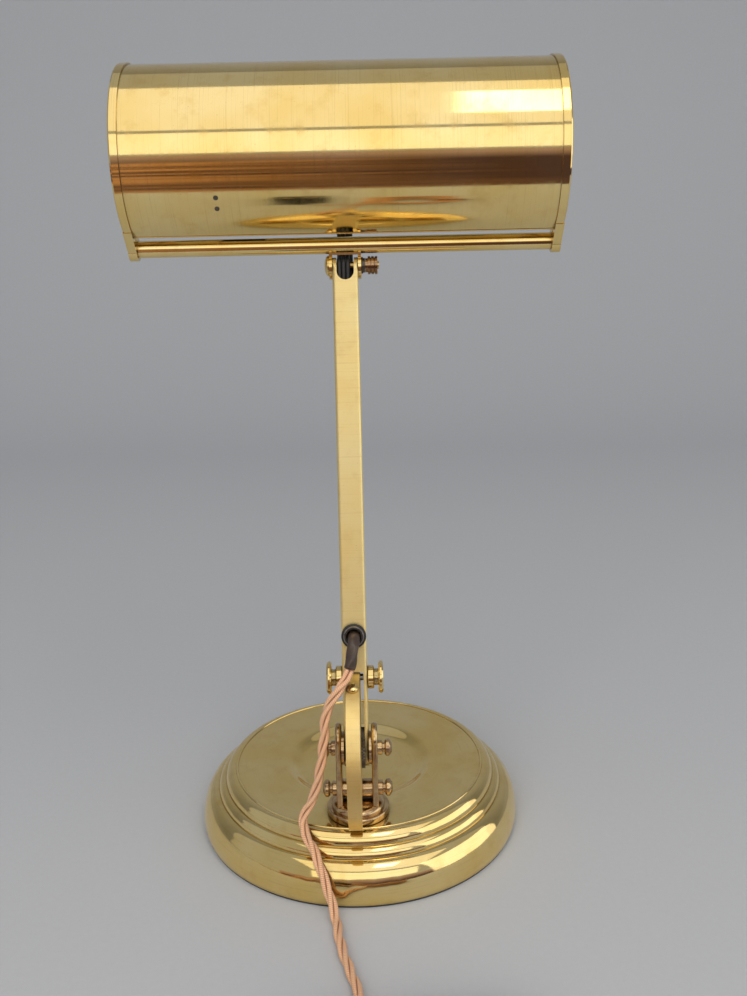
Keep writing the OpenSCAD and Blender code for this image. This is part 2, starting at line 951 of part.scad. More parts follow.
// Hinge at the arm's top
module ear_outline() {
    r = ear_w / 2;
    translate([0, r - ear_tail])
        circle(r);
    translate([-saddle_half, r - ear_tail])
        square([2 * saddle_half, rail_rise - r + ear_tail]);
}
module yoke() {
    color(brass)
        at_hinge()
            difference() {
                union() {
                    both_sides()
                        plate_x(ear_in, ear_out)
                            ear_outline();
                    translate([-ear_out, -saddle_half, saddle_low])
                        cube([2 * ear_out, 2 * saddle_half, rail_rise - saddle_low]);
                }
                translate([0, 0, rail_rise])
                    rod_x(rail_d, -2 * ear_out, 2 * ear_out);
                rod_x(hinge_d, -2 * ear_out, 2 * ear_out);
            }
}
module hinge_screw() {
    r = hinge_head_d / 2;
    reach = ear_out + 2 * hinge_washer_t + run_gap + nut_len + hinge_tail;
    color(brass)
        at_hinge() {
            rod_x(hinge_d, -ear_out, reach);
            mirror([1, 0, 0])
                turned_x(ear_out)
                    polygon([
                        [0, 0], [r, 0], [r, 0.8], [0.85 * r, 0.65 * hinge_head_t],
                        [0.5 * r, 0.92 * hinge_head_t], [0, hinge_head_t]
                    ]);
        }
}
module hinge_washers() {
    color(steel)
        at_hinge()
            for (i = [0, 1])
                ring_x(hinge_washer_d / 2 - 0.5 * i, hinge_d,
                    ear_out + i * hinge_washer_t, ear_out + (i + 1) * hinge_washer_t);
}
module nut_outline() {
    r = nut_d / 2;
    difference() {
        union() {
            square([r - 1, nut_collar_len]);
            translate([0, nut_collar_len])
                square([r - nut_groove, nut_len - nut_collar_len]);
            for (i = [0 : nut_ribs - 1])
                translate([0, nut_collar_len + i * (nut_rib_len + nut_groove_w)])
                    square([r, nut_rib_len]);
        }
        translate([0, -1])
            square([hinge_d / 2 + bore_gap, nut_len + 2]);
    }
}
module thumb_nut() {
    color(dark_brass)
        at_hinge()
            turned_x(ear_out + 2 * hinge_washer_t + run_gap)
                nut_outline();
}
module rail() {
    color(brass)
        at_hinge()
            translate([0, 0, rail_rise]) {
                rod_x(rail_d, -rail_half, rail_half);
                rod_x(spigot_d, -rail_half - cap_ear_t, rail_half + cap_ear_t);
            }
}

// Shade
module shade_sector(from, to) {
    plate_x(from, to)
        sector(2 * shade_r, -90 - lip_angle, far_angle - 90);
}
module at_lip(angle, r) {
    translate([0, -r * cos(angle), r * sin(angle)])
        children();
}
module rivet_places() {
    rotate([bracket_angle, 0, 0])
        for (side = [-1, 1])
            translate([-holder_x + foot_len / 2, 0, side * rivet_side])
                rotate([90, 0, 0])
                    children();
}
module shade_shell() {
    half = shade_half - cap_t;
    color(brass)
        in_shade()
            difference() {
                union() {
                    intersection() {
                        difference() {
                            rod_x(2 * shade_r, -half, half);
                            rod_x(2 * shell_in, -half - 1, half + 1);
                        }
                        shade_sector(-half, half);
                    }
                    for (angle = [-lip_angle, far_angle])
                        at_lip(angle, shade_r - shade_wall / 2)
                            rod_x(2 * lip_bead_r, -rail_half, rail_half);
                }
                rivet_places()
                    cylinder(d = rivet_d, h = 2 * shade_r);
            }
}
module cap_half_space() {
    chord = shade_r * cos(shell_angle / 2);
    rotate([90 - (far_angle - lip_angle) / 2, 0, 0])
        translate([-shade_len, -shade_len, chord])
            cube([2 * shade_len, 2 * shade_len, shade_len]);
}
module rim_outline() {
    out = shade_r + rim_t;
    polygon([
        [0, -cap_t], [shade_r, -cap_t], [shade_r, -rim_w], [out, -rim_w], [out, -rim_t],
        [out - 0.3 * rim_t, -0.3 * rim_t], [out - rim_t, 0], [0, 0]
    ]);
}
module end_cap() {
    rail_y = -shade_out;
    rail_z = rail_rise - shade_rise;
    ear_from = rail_half;
    ear_to = rail_half + cap_ear_t;
    neck_y = rail_y + (shade_r - cap_seat) * cos(cap_seat_angle);
    neck_z = -(shade_r - cap_seat) * sin(cap_seat_angle) - rail_z;
    difference() {
        union() {
            intersection() {
                turned_x(shade_half)
                    rim_outline();
                cap_half_space();
            }
            translate([0, rail_y, rail_z])
                rod_x(2 * cap_ear_r, ear_from, ear_to);
            difference() {
                translate([0, rail_y, rail_z])
                    rotate([atan2(neck_y, neck_z), 0, 0])
                        translate([ear_from, -cap_neck / 2, 0])
                            cube([cap_ear_t, cap_neck, norm([neck_y, neck_z])]);
                rod_x(2 * shade_r + 0.6 * rim_t, 0, shade_half - cap_t);
            }
        }
        translate([0, rail_y, rail_z])
            rod_x(spigot_d, 0, 2 * shade_half);
    }
}
module end_cap_left() {
    color(brass)
        in_shade()
            mirror([1, 0, 0])
                end_cap();
}
module end_cap_right() {
    color(brass)
        in_shade()
            end_cap();
}

// Lampholder and bulb inside the shade
module holder_bracket() {
    color(brass)
        in_shade()
            difference() {
                rotate([bracket_angle, 0, 0]) {
                    translate([-holder_x, -foot_face, -bracket_w / 2])
                        cube([foot_len, bracket_t, bracket_w]);
                    translate([-holder_x, -foot_face, -bracket_w / 2])
                        cube([bracket_t, foot_face, bracket_w]);
                    rod_x(2 * leg_r, -holder_x, -holder_x + bracket_t);
                }
                rod_x(nipple_d, -2 * holder_x, 0);
                rivet_places()
                    cylinder(d = rivet_d, h = 2 * shade_r);
            }
}
module holder_rivets() {
    inner = foot_face - bracket_t;
    outer = sqrt(pow(shade_r, 2) - pow(rivet_side - rivet_d / 2, 2)) + rivet_proud;
    color(dark_brass)
        in_shade()
            rivet_places()
                translate([0, 0, inner])
                    cylinder(d = rivet_d, h = outer - inner);
}
module holder_nipple() {
    tail = nipple_len - bracket_t;
    color(brass)
        in_shade()
            difference() {
                union() {
                    rod_x(nipple_d, -holder_x - tail, -holder_x + bracket_t);
                    rod_x(nipple_flange_d, -holder_x - nipple_flange_t, -holder_x);
                }
                rod_x(nipple_bore, -2 * holder_x, 0);
            }
}
module holder_cap() {
    r = holder_d / 2;
    edge = 2;
    color([0.10, 0.08, 0.07])
        in_shade()
            difference() {
                turned_x(holder_z0)
                    polygon([[0, 0], [r - edge, 0], [r, edge], [r, holder_len], [0, holder_len]]);
                translate([holder_z0 + holder_len / 2, 0, 0])
                    rotate([90, 0, 0])
                        cylinder(d = switch_d + 2 * bore_gap, h = 2 * holder_d, center = true);
            }
}
module holder_skirt() {
    r = skirt_d / 2;
    color(brass)
        in_shade()
            turned_x(skirt_z0)
                polygon([
                    [0, 0], [r, 0], [r, skirt_len], [r - skirt_wall, skirt_len], [r - skirt_wall, 2], [0, 2]
                ]);
}
module switch_bar() {
    out = holder_d / 2 + switch_out;
    color([0.85, 0.80, 0.68])
        in_shade()
            translate([holder_z0 + holder_len / 2, out, 0])
                rotate([90, 0, 0])
                    cylinder(d = switch_d, h = 2 * out - switch_travel);
}
module bulb_cap() {
    r = bulb_cap_d / 2;
    inner = r - bulb_cap_wall;
    pin_d = 2;
    pin_out = 1.6;
    color(brass)
        in_shade() {
            turned_x(cap_z0)
                polygon([
                    [0, 0], [r, 0], [r, bulb_cap_len], [inner, bulb_cap_len], [inner, 1], [0, 1]
                ]);
            for (side = [-1, 1])
                translate([cap_z0 + 6, 0, side * (r - bulb_cap_wall)])
                    rotate([90 - 90 * side, 0, 0])
                        cylinder(d = pin_d, h = pin_out + bulb_cap_wall);
        }
}
module bulb_glass() {
    r = bulb_d / 2;
    neck = bulb_cap_d / 2 - bulb_cap_wall;
    w = bulb_wall;
    dome = [for (i = [0 : arc_steps]) let (a = 90 * i / arc_steps) [cos(a), sin(a)]];
    body = bulb_len - r;
    color([0.95, 0.93, 0.86, 0.5])
        in_shade()
            turned_x(glass_z0)
                polygon(concat(
                    [[neck - w, -bulb_neck_len], [neck, -bulb_neck_len], [neck, 0], [r, bulb_neck_len]],
                    [for (p = dome) [r * p[0], body + r * p[1]]],
                    [for (i = [arc_steps : -1 : 0]) [(r - w) * dome[i][0], body + (r - w) * dome[i][1]]],
                    [[r - w, bulb_neck_len + w / 2], [neck - w, w / 2]]
                ));
}
module bulb_filament() {
    from = cap_z0 + 1;
    bend = glass_z0 + stem_len;
    end = bend + filament_len;
    color(steel)
        in_shade() {
            rod_x(stem_d, from, bend);
            for (side = [-1, 1])
                translate([0, 0, side * stem_d / 4])
                    rod_x(wire_d, bend - 1, bend + 3);
            for (side = [-1, 1])
                translate([bend + 3, 0, side * stem_d / 4])
                    rotate([90 - 90 * side, 0, 0])
                        cylinder(d = wire_d, h = filament_half);
            for (side = [-1, 1])
                translate([0, 0, side * (stem_d / 4 + filament_half)])
                    rod_x(wire_d, bend + 3 - wire_d / 2, end + wire_d / 2);
            translate([end, 0, -stem_d / 4 - filament_half])
                cylinder(d = wire_d, h = stem_d / 2 + 2 * filament_half);
        }
}

// Flex in the shade, in the hinge's frame
flex_end = -holder_x - nipple_len + bracket_t;
flex_route = [
    [0, 10.5, 8], [-1, 12, 16], [-8, 13.6, 24], [-22, 14.6, 28], [-40, 15, 29.5], [-60, 15, 30.5],
    [-78, 15, 33], [flex_end - 10, shade_out, 40], [flex_end - 14, shade_out, 47],
    [flex_end - 12, shade_out, 54], [flex_end - 6, shade_out, shade_rise], [flex_end, shade_out, shade_rise]
];
module head_flex() {
    color(black)
        at_hinge()
            swept(flex_route, flex_d, 8, [0, 1, 0]);
}

// Free flex, its coil and its plug
function by_bracket(points) = [for (p = points) [p[0], p[1] - bracket_offset, p[2]]];
drop_points = by_bracket(drop_route);
drop_end = drop_points[len(drop_points) - 1];
drop_path = concat([sleeve_end + soft_gap * sleeve_way, sleeve_end + cord_d * sleeve_way], drop_points);
lead_path = concat(
    [drop_end], by_bracket(lead_route), [coil_in_point + [0, cord_d, 0], coil_in_point]
);
tail_path = concat(
    [coil_out_point, coil_out_point - [cord_d, 0, 0]], by_bracket(tail_route),
    [plug_entry + [0, cord_d, 0], plug_entry]
);
module cord_drop() {
    color(copper)
        swept(drop_path, cord_d, 8, [1, 0, 0]);
}
module cord_lead() {
    color(copper)
        swept(lead_path, cord_d, 8, [1, 0, 0]);
}
module cord_coil() {
    color(copper)
        swept(coil_route, cord_d, 6, [0, 0, 1]);
}
module coil_tie() {
    near = coil_r - cord_d / 2 - soft_gap;
    far = coil_out + cord_d / 2 + soft_gap;
    high = coil_z + layer_h + cord_d / 2 + soft_gap;
    color(black)
        translate([coil_x, coil_y - tie_w / 2, 0])
            difference() {
                translate([near - tie_t, 0, 0])
                    cube([far - near + 2 * tie_t, tie_w, high + tie_t]);
                translate([near, -1, tie_t])
                    cube([far - near, tie_w + 2, high - tie_t]);
            }
}
module cord_tail() {
    color(copper)
        swept(tail_path, cord_d, 8, [0, 0, 1]);
}
module plug_block(low, high) {
    translate([plug_x, plug_y - plug_len / 2, low])
        intersection() {
            rounded_bar(plug_w, plug_edge, high - low);
            translate([-plug_w, -plug_len / 2, 0])
                cube([2 * plug_w, plug_len, high]);
        }
}
module plug_cover() {
    color(black)
        plug_block(0, plug_split);
}
module plug_base() {
    color(black)
        plug_block(plug_split, plug_h);
}
module plug_pins() {
    color(brass)
        translate([plug_x, plug_y - pin_back, plug_h]) {
            for (side = [-1, 1])
                translate([side * pin_side - pin_w / 2, -pin_t / 2, 0])
                    cube([pin_w, pin_t, pin_len]);
            translate([-pin_t / 2, -pin_earth - earth_w / 2, 0])
                cube([pin_t, earth_w, earth_len]);
        }
}
module plug_relief() {
    color(black)
        translate([plug_x, plug_y, plug_split])
            rotate([-90, 0, 0])
                cylinder(d1 = relief_d, d2 = cord_d + 1.4, h = relief_len);
}

base_felt();
base_bottom();
base_weight();
base_screws();
base_shell();
bracket();
bracket_stud();
bracket_nut();
bracket_washer();
pivot_pin();
pivot_nuts();
pivot_washers();
friction_discs();
stay_pin();
stay_nuts();
stay_spacers();
quadrant();
stop_screw();
arm_tube();
clamp_axle();
clamp_knob_left();
clamp_knob_right();
cord_bush();
bush_eyelet();
cord_sleeve();
arm_flex();
yoke();
hinge_screw();
hinge_washers();
thumb_nut();
rail();
shade_shell();
end_cap_left();
end_cap_right();
holder_bracket();
holder_rivets();
holder_nipple();
holder_cap();
holder_skirt();
switch_bar();
bulb_cap();
bulb_glass();
bulb_filament();
head_flex();
cord_drop();
cord_lead();
cord_coil();
coil_tie();
cord_tail();
plug_cover();
plug_base();
plug_pins();
plug_relief();
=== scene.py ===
# Looks of the adjustable brass desk lamp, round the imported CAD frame. Metres, in the CAD's frame.
import math

import bpy
from mathutils import Matrix, Vector


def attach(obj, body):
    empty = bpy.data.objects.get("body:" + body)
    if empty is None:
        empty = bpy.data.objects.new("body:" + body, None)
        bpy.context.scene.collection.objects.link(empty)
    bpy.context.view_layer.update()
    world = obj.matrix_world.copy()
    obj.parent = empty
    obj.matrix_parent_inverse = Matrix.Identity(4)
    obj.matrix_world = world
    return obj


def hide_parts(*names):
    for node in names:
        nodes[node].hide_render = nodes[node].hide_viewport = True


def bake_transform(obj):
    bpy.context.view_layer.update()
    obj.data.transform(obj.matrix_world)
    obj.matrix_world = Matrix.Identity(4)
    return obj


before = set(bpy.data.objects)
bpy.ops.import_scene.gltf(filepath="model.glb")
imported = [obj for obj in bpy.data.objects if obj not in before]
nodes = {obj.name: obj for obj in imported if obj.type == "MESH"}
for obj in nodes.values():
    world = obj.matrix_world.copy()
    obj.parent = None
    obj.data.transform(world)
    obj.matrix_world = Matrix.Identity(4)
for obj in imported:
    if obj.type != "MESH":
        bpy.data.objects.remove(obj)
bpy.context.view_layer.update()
scene = bpy.context.scene
scene.view_settings.view_transform = "Standard"

MM = 0.001

# Places that part.scad gives, in millimetres
BRACKET_OFFSET = 55.0
PIVOT_Z = 73.8
ARM_LEAN = math.radians(12)
ARM_REACH = 260.0
BUSH_S = 63.5
CORD_D = 5.6
SOFT_GAP = 0.3
SHADE_OUT = 15.0
SHADE_RISE = 56.2


# Turns a point of the arm's frame into the shared frame, in millimetres
def from_arm(point):
    x, y, z = point
    return (
        x,
        -BRACKET_OFFSET + y * math.cos(ARM_LEAN) + z * math.sin(ARM_LEAN),
        PIVOT_Z - y * math.sin(ARM_LEAN) + z * math.cos(ARM_LEAN),
    )


# Turns a point of the hinge's frame into the shared frame, in millimetres
def from_hinge(point):
    hinge = from_arm((0, 0, ARM_REACH))
    return tuple(a + b for a, b in zip(hinge, point))


# Moves a point given from the bracket's axis to the base's centre
def from_bracket(point):
    return (point[0], point[1] - BRACKET_OFFSET, point[2])


# Turns points in millimetres into metres
def metres(points):
    return [Vector(p) * MM for p in points]


# Camera at the photograph's viewing angle
CAMERA_PLACE = Vector((0.0122, -0.5739, 0.3725))
CAMERA_PITCH = 0.29253
CAMERA_ROLL = math.radians(-1.25)
CAMERA_LENS = 38.494
SENSOR_WIDTH = 36.0
CLIP_START = 0.01


def make_camera():
    data = bpy.data.cameras.new("camera")
    data.lens = CAMERA_LENS
    data.sensor_width = SENSOR_WIDTH
    data.clip_start = CLIP_START
    camera = bpy.data.objects.new("camera", data)
    scene.collection.objects.link(camera)
    ahead = Vector((0, math.cos(CAMERA_PITCH), -math.sin(CAMERA_PITCH)))
    up = Vector((0, math.sin(CAMERA_PITCH), math.cos(CAMERA_PITCH)))
    right = Vector((1, 0, 0))
    turned_right = right * math.cos(CAMERA_ROLL) + up * math.sin(CAMERA_ROLL)
    turned_up = up * math.cos(CAMERA_ROLL) - right * math.sin(CAMERA_ROLL)
    rows = Matrix((turned_right, turned_up, -ahead)).transposed()
    camera.matrix_world = Matrix.Translation(CAMERA_PLACE) @ rows.to_4x4()
    scene.camera = camera


make_camera()


# Adds a mesh object from points and faces, smooth shaded
def add_mesh(name, points, faces, smooth=True):
    mesh = bpy.data.meshes.new(name)
    mesh.from_pydata([tuple(p) for p in points], [], faces)
    mesh.update()
    if smooth:
        mesh.polygons.foreach_set("use_smooth", [True] * len(mesh.polygons))
    piece = bpy.data.objects.new(name, mesh)
    scene.collection.objects.link(piece)
    return piece


# A smooth line through points, cut into steps of about the given length
def smooth_line(points, step):
    last = len(points) - 1
    lengths = [(points[i + 1] - points[i]).length for i in range(last)]
    slopes = []
    for i in range(last + 1):
        if i == 0:
            slopes.append((points[1] - points[0]) / lengths[0])
        elif i == last:
            slopes.append((points[last] - points[last - 1]) / lengths[last - 1])
        else:
            before = (points[i] - points[i - 1]) / lengths[i - 1]
            after = (points[i + 1] - points[i]) / lengths[i]
            share = lengths[i - 1] / (lengths[i - 1] + lengths[i])
            slopes.append(before * (1 - share) + after * share)
    line = [points[0].copy()]
    for i in range(last):
        pieces = max(1, round(lengths[i] / step))
        for k in range(1, pieces + 1):
            t = k / pieces
            h00 = 2 * t**3 - 3 * t**2 + 1
            h10 = t**3 - 2 * t**2 + t
            h01 = -2 * t**3 + 3 * t**2
            h11 = t**3 - t**2
            tug_a = slopes[i] * lengths[i]
            tug_b = slopes[i + 1] * lengths[i]
            line.append(points[i] * h00 + tug_a * h10 + points[i + 1] * h01 + tug_b * h11)
    return line


# Direction of a line at each of its points
def headings(line):
    last = len(line) - 1
    return [(line[min(i + 1, last)] - line[max(i - 1, 0)]).normalized() for i in range(last + 1)]


# Length along a line up to each of its points
def run_lengths(line):
    total = [0.0]
    for a, b in zip(line, line[1:]):
        total.append(total[-1] + (b - a).length)
    return total


# Sides carried along a line without twist
def carried_sides(ways, first):
    sides = []
    side = Vector(first)
    for way in ways:
        side = (side - way * side.dot(way)).normalized()
        sides.append(side)
    return sides


# Eases from 0 to 1 between two values
def ramp(value, low, high):
    t = min(1.0, max(0.0, (value - low) / (high - low)))
    return t * t * (3 - 2 * t)


# Sides that the rings of a tube start from
ACROSS = (1, 0, 0)
NEARLY_ACROSS = (1, 0.01, 0)


# Closed tubes along several lines in one mesh, with the run along each tube kept for the weave
def tubes_mesh(name, lines, radius, ring_count, outward=None):
    points = []
    faces = []
    around = []
    along = []
    for number, line in enumerate(lines):
        ways = headings(line)
        runs = run_lengths(line)
        sides = outward[number] if outward else carried_sides(ways, NEARLY_ACROSS)
        start = len(points)
        for centre, way, side, run in zip(line, ways, sides, runs):
            a = (side - way * side.dot(way)).normalized()
            b = way.cross(a)
            for k in range(ring_count):
                turn = 2 * math.pi * k / ring_count
                points.append(centre + (a * math.cos(turn) + b * math.sin(turn)) * radius)
                around.append(turn)
                along.append(run)
        for i in range(len(line) - 1):
            for k in range(ring_count):
                p = start + i * ring_count + k
                q = start + i * ring_count + (k + 1) % ring_count
                faces.append((p, q, q + ring_count, p + ring_count))
        end = start + (len(line) - 1) * ring_count
        faces.append(tuple(start + k for k in reversed(range(ring_count))))
        faces.append(tuple(end + k for k in range(ring_count)))
    piece = add_mesh(name, points, faces)
    run_layer = piece.data.attributes.new("run", "FLOAT", "POINT")
    run_layer.data.foreach_set("value", along)
    cosines = piece.data.attributes.new("weave_cos", "FLOAT", "POINT")
    cosines.data.foreach_set("value", [math.cos(t) for t in around])
    sines = piece.data.attributes.new("weave_sin", "FLOAT", "POINT")
    sines.data.foreach_set("value", [math.sin(t) for t in around])
    return piece


# Strands twisted together along one line
def twisted_tubes(name, line, strands, strand_d, lay, first_side, ring_count):
    reach = strand_d / 2 / math.sin(math.pi / strands)
    ways = headings(line)
    runs = run_lengths(line)
    sides = carried_sides(ways, first_side)
    lines = []
    outward = []
    for number in range(strands):
        places = []
        outs = []
        for centre, way, side, run in zip(line, ways, sides, runs):
            turn = 2 * math.pi * (number / strands + run / lay)
            out = side * math.cos(turn) + way.cross(side) * math.sin(turn)
            places.append(centre + out * reach)
            outs.append(out)
        lines.append(places)
        outward.append(outs)
    return tubes_mesh(name, lines, strand_d / 2, ring_count, outward)


# Routes of the sleeve and the free flex, as part.scad has them, in millimetres
SLEEVE_DIP = 0.75
SLEEVE_ROUTE = [
    (0, 0, BUSH_S - SLEEVE_DIP),
    (0, -6, BUSH_S - SLEEVE_DIP),
    (0, -11, BUSH_S - SLEEVE_DIP - 0.2),
    (-0.2, -14.5, BUSH_S - 2.4),
    (-0.6, -17.4, BUSH_S - 6),
    (-1.3, -19, BUSH_S - 10.5),
    (-2.6, -19.8, BUSH_S - 14.7),
]
DROP_ROUTE = [
    (-8, -14.6, 116.6),
    (-14.4, -15.5, 105.5),
    (-16.9, -15.5, 87.6),
    (-19.6, -15.3, 69.6),
    (-24.6, -15, 51.2),
    (-28.2, -15, 44.2),
    (-29.8, -16.6, 39.4),
    (-28.8, -20.6, 35.4),
    (-23.9, -28.3, 29.5),
    (-19.8, -36.5, 22.4),
    (-16.4, -41, 13.4),
    (-13.8, -45.8, 7),
    (-11.8, -52.5, 2.9),
    (-11, -58, 2.9),
]
LEAD_ROUTE = [
    (-10.2, -63.5, 2.9),
    (-8, -75, 2.9),
    (-4.3, -88, 2.9),
    (0, -103, 2.9),
    (4, -119, 2.9),
    (7, -135, 3),
    (8.7, -149, 3.6),
]
TAIL_ROUTE = [
    (28, -124, 10.5),
    (13, -124.2, 10.5),
    (-2, -124.8, 10.5),
    (-18, -128, 10.6),
    (-32, -135, 11),
    (-42, -145, 12),
]
COIL_X = 52.0
COIL_AHEAD = 167.0
COIL_Y = -BRACKET_OFFSET - COIL_AHEAD
COIL_TURNS = 6.75
COIL_R = 22.0
LOOP_GAP = 0.6
TURN_PITCH = CORD_D + LOOP_GAP
LAYER_H = CORD_D + LOOP_GAP
CLIMB_TURNS = 0.5
TIE_T = 1.0
TIE_W = 8.0
COIL_Z = CORD_D / 2 + TIE_T + SOFT_GAP
COIL_MID = COIL_TURNS / 2
COIL_OUT = COIL_R + TURN_PITCH * COIL_MID
LOOP_RINGS = 24
PLUG_X = -46.0
PLUG_AHEAD = 181.0
PLUG_Y = -BRACKET_OFFSET - PLUG_AHEAD
PLUG_SPLIT = 12.5
RELIEF_LEN = 22.0


# A point of the coil after the given number of turns
def coil_point(turns):
    reach = COIL_R + TURN_PITCH * abs(turns - COIL_MID)
    angle = math.pi + 2 * math.pi * turns
    climb = min(1.0, max(0.0, (turns - COIL_MID) / CLIMB_TURNS + 0.5))
    lift = climb * climb * (3 - 2 * climb)
    x = COIL_X + reach * math.cos(angle)
    y = COIL_Y + reach * math.sin(angle)
    return (x, y, COIL_Z + LAYER_H * lift)


# Points of the flex from the sleeve's end, over the base and through the coil to the plug
def cord_points():
    sleeve = [Vector(from_arm(p)) for p in SLEEVE_ROUTE]
    end = sleeve[-1]
    way = (sleeve[-1] - sleeve[-2]).normalized()
    first = [end + way * SOFT_GAP, end + way * CORD_D]
    drop = [from_bracket(p) for p in DROP_ROUTE]
    lead = [from_bracket(p) for p in LEAD_ROUTE]
    into_coil = (COIL_X - COIL_OUT, COIL_Y + CORD_D, COIL_Z)
    before_coil = (COIL_X - COIL_OUT, COIL_Y + 2 * CORD_D, COIL_Z)
    coil = [coil_point(i / LOOP_RINGS) for i in range(int(COIL_TURNS * LOOP_RINGS) + 1)]
    out_of_coil = (COIL_X - CORD_D, COIL_Y + COIL_OUT, COIL_Z + LAYER_H)
    after_coil = (COIL_X - 2 * CORD_D, COIL_Y + COIL_OUT, COIL_Z + LAYER_H)
    tail = [from_bracket(p) for p in TAIL_ROUTE]
    before_plug = (PLUG_X, PLUG_Y + RELIEF_LEN + CORD_D, PLUG_SPLIT)
    plug = (PLUG_X, PLUG_Y + RELIEF_LEN, PLUG_SPLIT)
    route = first + drop + lead + [before_coil, into_coil] + coil
    route = route + [out_of_coil, after_coil] + tail + [before_plug, plug]
    return metres(route)


# Twisted flex of three cloth-covered cores, from the sleeve to the plug
CORES = 3
CORE_D = 2.6 * MM
CORD_LAY = 42 * MM
CORD_STEP = 1.9 * MM
CORE_SIDES = 8

cord_path = cord_points()
cord_line = smooth_line(cord_path, CORD_STEP)
cord = twisted_tubes("twisted_flex", cord_line, CORES, CORE_D, CORD_LAY, ACROSS, CORE_SIDES)
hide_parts("cord_drop", "cord_lead", "cord_coil", "cord_tail")
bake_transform(cord)


# Strap that holds the coil, with its free end folded over
TIE_BEND = 2.6 * MM
TIE_EDGE = 0.25 * MM
TIE_EDGE_STEPS = 2
CORNER_STEPS = 6
FLAP_FROM = 3 * MM
FLAP_SHORT = 6 * MM
FLAP_STEPS = 10
FLAP_GAP = 0.02 * MM
FLAP_LIFT = 0.9 * MM
FLAP_T = 0.9 * MM
FLAP_HALF = 0.46 * TIE_W * MM


def make_tie():
    near = (COIL_X + COIL_R - CORD_D / 2 - SOFT_GAP) * MM
    far = (COIL_X + COIL_OUT + CORD_D / 2 + SOFT_GAP) * MM
    low = TIE_T * MM
    high = (COIL_Z + LAYER_H + CORD_D / 2 + SOFT_GAP) * MM
    bend = TIE_BEND
    thick = TIE_T * MM
    corners = [(far - bend, high - bend, 0), (near + bend, high - bend, 90)]
    corners += [(near + bend, low + bend, 180), (far - bend, low + bend, 270)]
    loop = []
    for x, z, angle in corners:
        for k in range(CORNER_STEPS + 1):
            turn = math.radians(angle + 90 / CORNER_STEPS * k)
            loop.append((x, z, math.cos(turn), math.sin(turn)))
    points = []
    for x, z, cx, cz in loop:
        for reach in (bend, bend + thick):
            for side in (-TIE_W / 2 * MM, TIE_W / 2 * MM):
                points.append((x + cx * reach, COIL_Y * MM + side, z + cz * reach))
    count = len(loop)
    faces = []
    for i in range(count):
        a = 4 * i
        b = 4 * ((i + 1) % count)
        faces.append((a, b, b + 1, a + 1))
        faces.append((a + 2, a + 3, b + 3, b + 2))
        faces.append((a, a + 2, b + 2, b))
        faces.append((a + 1, b + 1, b + 3, a + 3))
    flap_from = near + FLAP_FROM
    flap_to = far - FLAP_SHORT
    first = len(points)
    for i in range(FLAP_STEPS + 1):
        t = i / FLAP_STEPS
        x = flap_from + (flap_to - flap_from) * t
        z = high + thick + FLAP_GAP + FLAP_LIFT * (1 - t) ** 3
        for lift in (0, FLAP_T):
            for side in (-FLAP_HALF, FLAP_HALF):
                points.append((x, COIL_Y * MM + side, z + lift))
    for i in range(FLAP_STEPS):
        a = first + 4 * i
        b = a + 4
        faces.append((a, a + 1, b + 1, b))
        faces.append((a + 2, b + 2, b + 3, a + 3))
        faces.append((a, b, b + 2, a + 2))
        faces.append((a + 1, a + 3, b + 3, b + 1))
    end = first + 4 * FLAP_STEPS
    faces.append((first, first + 2, first + 3, first + 1))
    faces.append((end, end + 1, end + 3, end + 2))
    piece = add_mesh("coil_strap", points, faces, smooth=False)
    edge = piece.modifiers.new("soft_edge", "BEVEL")
    edge.width = TIE_EDGE
    edge.segments = TIE_EDGE_STEPS
    return piece


tie = make_tie()
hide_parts("coil_tie")
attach(tie, "base")


# Rubber sleeve where the flex leaves the arm, drawn in between the twisted cores, open at its lower end
SLEEVE_R = 3.3 * MM
SLEEVE_STEP = 0.5 * MM
SLEEVE_SIDES = 36
SLEEVE_LIP = 0.95
FOLD_DEPTH = 0.55 * MM
FOLD_FROM = 9.5 * MM
FOLD_OVER = 4 * MM

# Rings of the sleeve's mouth: how far back in millimetres, and the share of its radius
SLEEVE_MOUTH = ((0.0, 0.9), (0.25, 0.87), (1.6, 0.86))


def make_sleeve():
    line = smooth_line(metres([from_arm(p) for p in SLEEVE_ROUTE]), SLEEVE_STEP)
    ways = headings(line)
    sides = carried_sides(ways, ACROSS)
    runs = run_lengths(line)
    radii = [SLEEVE_R] * len(line)
    radii[-1] = SLEEVE_R * SLEEVE_LIP
    rings = list(zip(line, ways, sides, radii, runs))
    end = rings[-1]
    for back, share in SLEEVE_MOUTH:
        rings.append((end[0] - end[1] * back * MM, end[1], end[2], SLEEVE_R * share, runs[-1]))
    count = SLEEVE_SIDES
    points = []
    for centre, way, side, radius, run in rings:
        other = way.cross(side)
        depth = FOLD_DEPTH * ramp(run, FOLD_FROM, FOLD_FROM + FOLD_OVER)
        twist = 2 * math.pi * (run - runs[-1]) / CORD_LAY
        for k in range(count):
            turn = 2 * math.pi * k / count
            reach = radius - depth * (0.5 - 0.5 * math.cos(CORES * (turn - twist)))
            points.append(centre + (side * math.cos(turn) + other * math.sin(turn)) * reach)
    faces = []
    for i in range(len(rings) - 1):
        for k in range(count):
            p = i * count + k
            q = i * count + (k + 1) % count
            faces.append((p, q, q + count, p + count))
    last = (len(rings) - 1) * count
    faces.append(tuple(reversed(range(count))))
    faces.append(tuple(last + k for k in range(count)))
    return add_mesh("flex_sleeve", points, faces)


sleeve = make_sleeve()
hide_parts("cord_sleeve")
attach(sleeve, "arm")

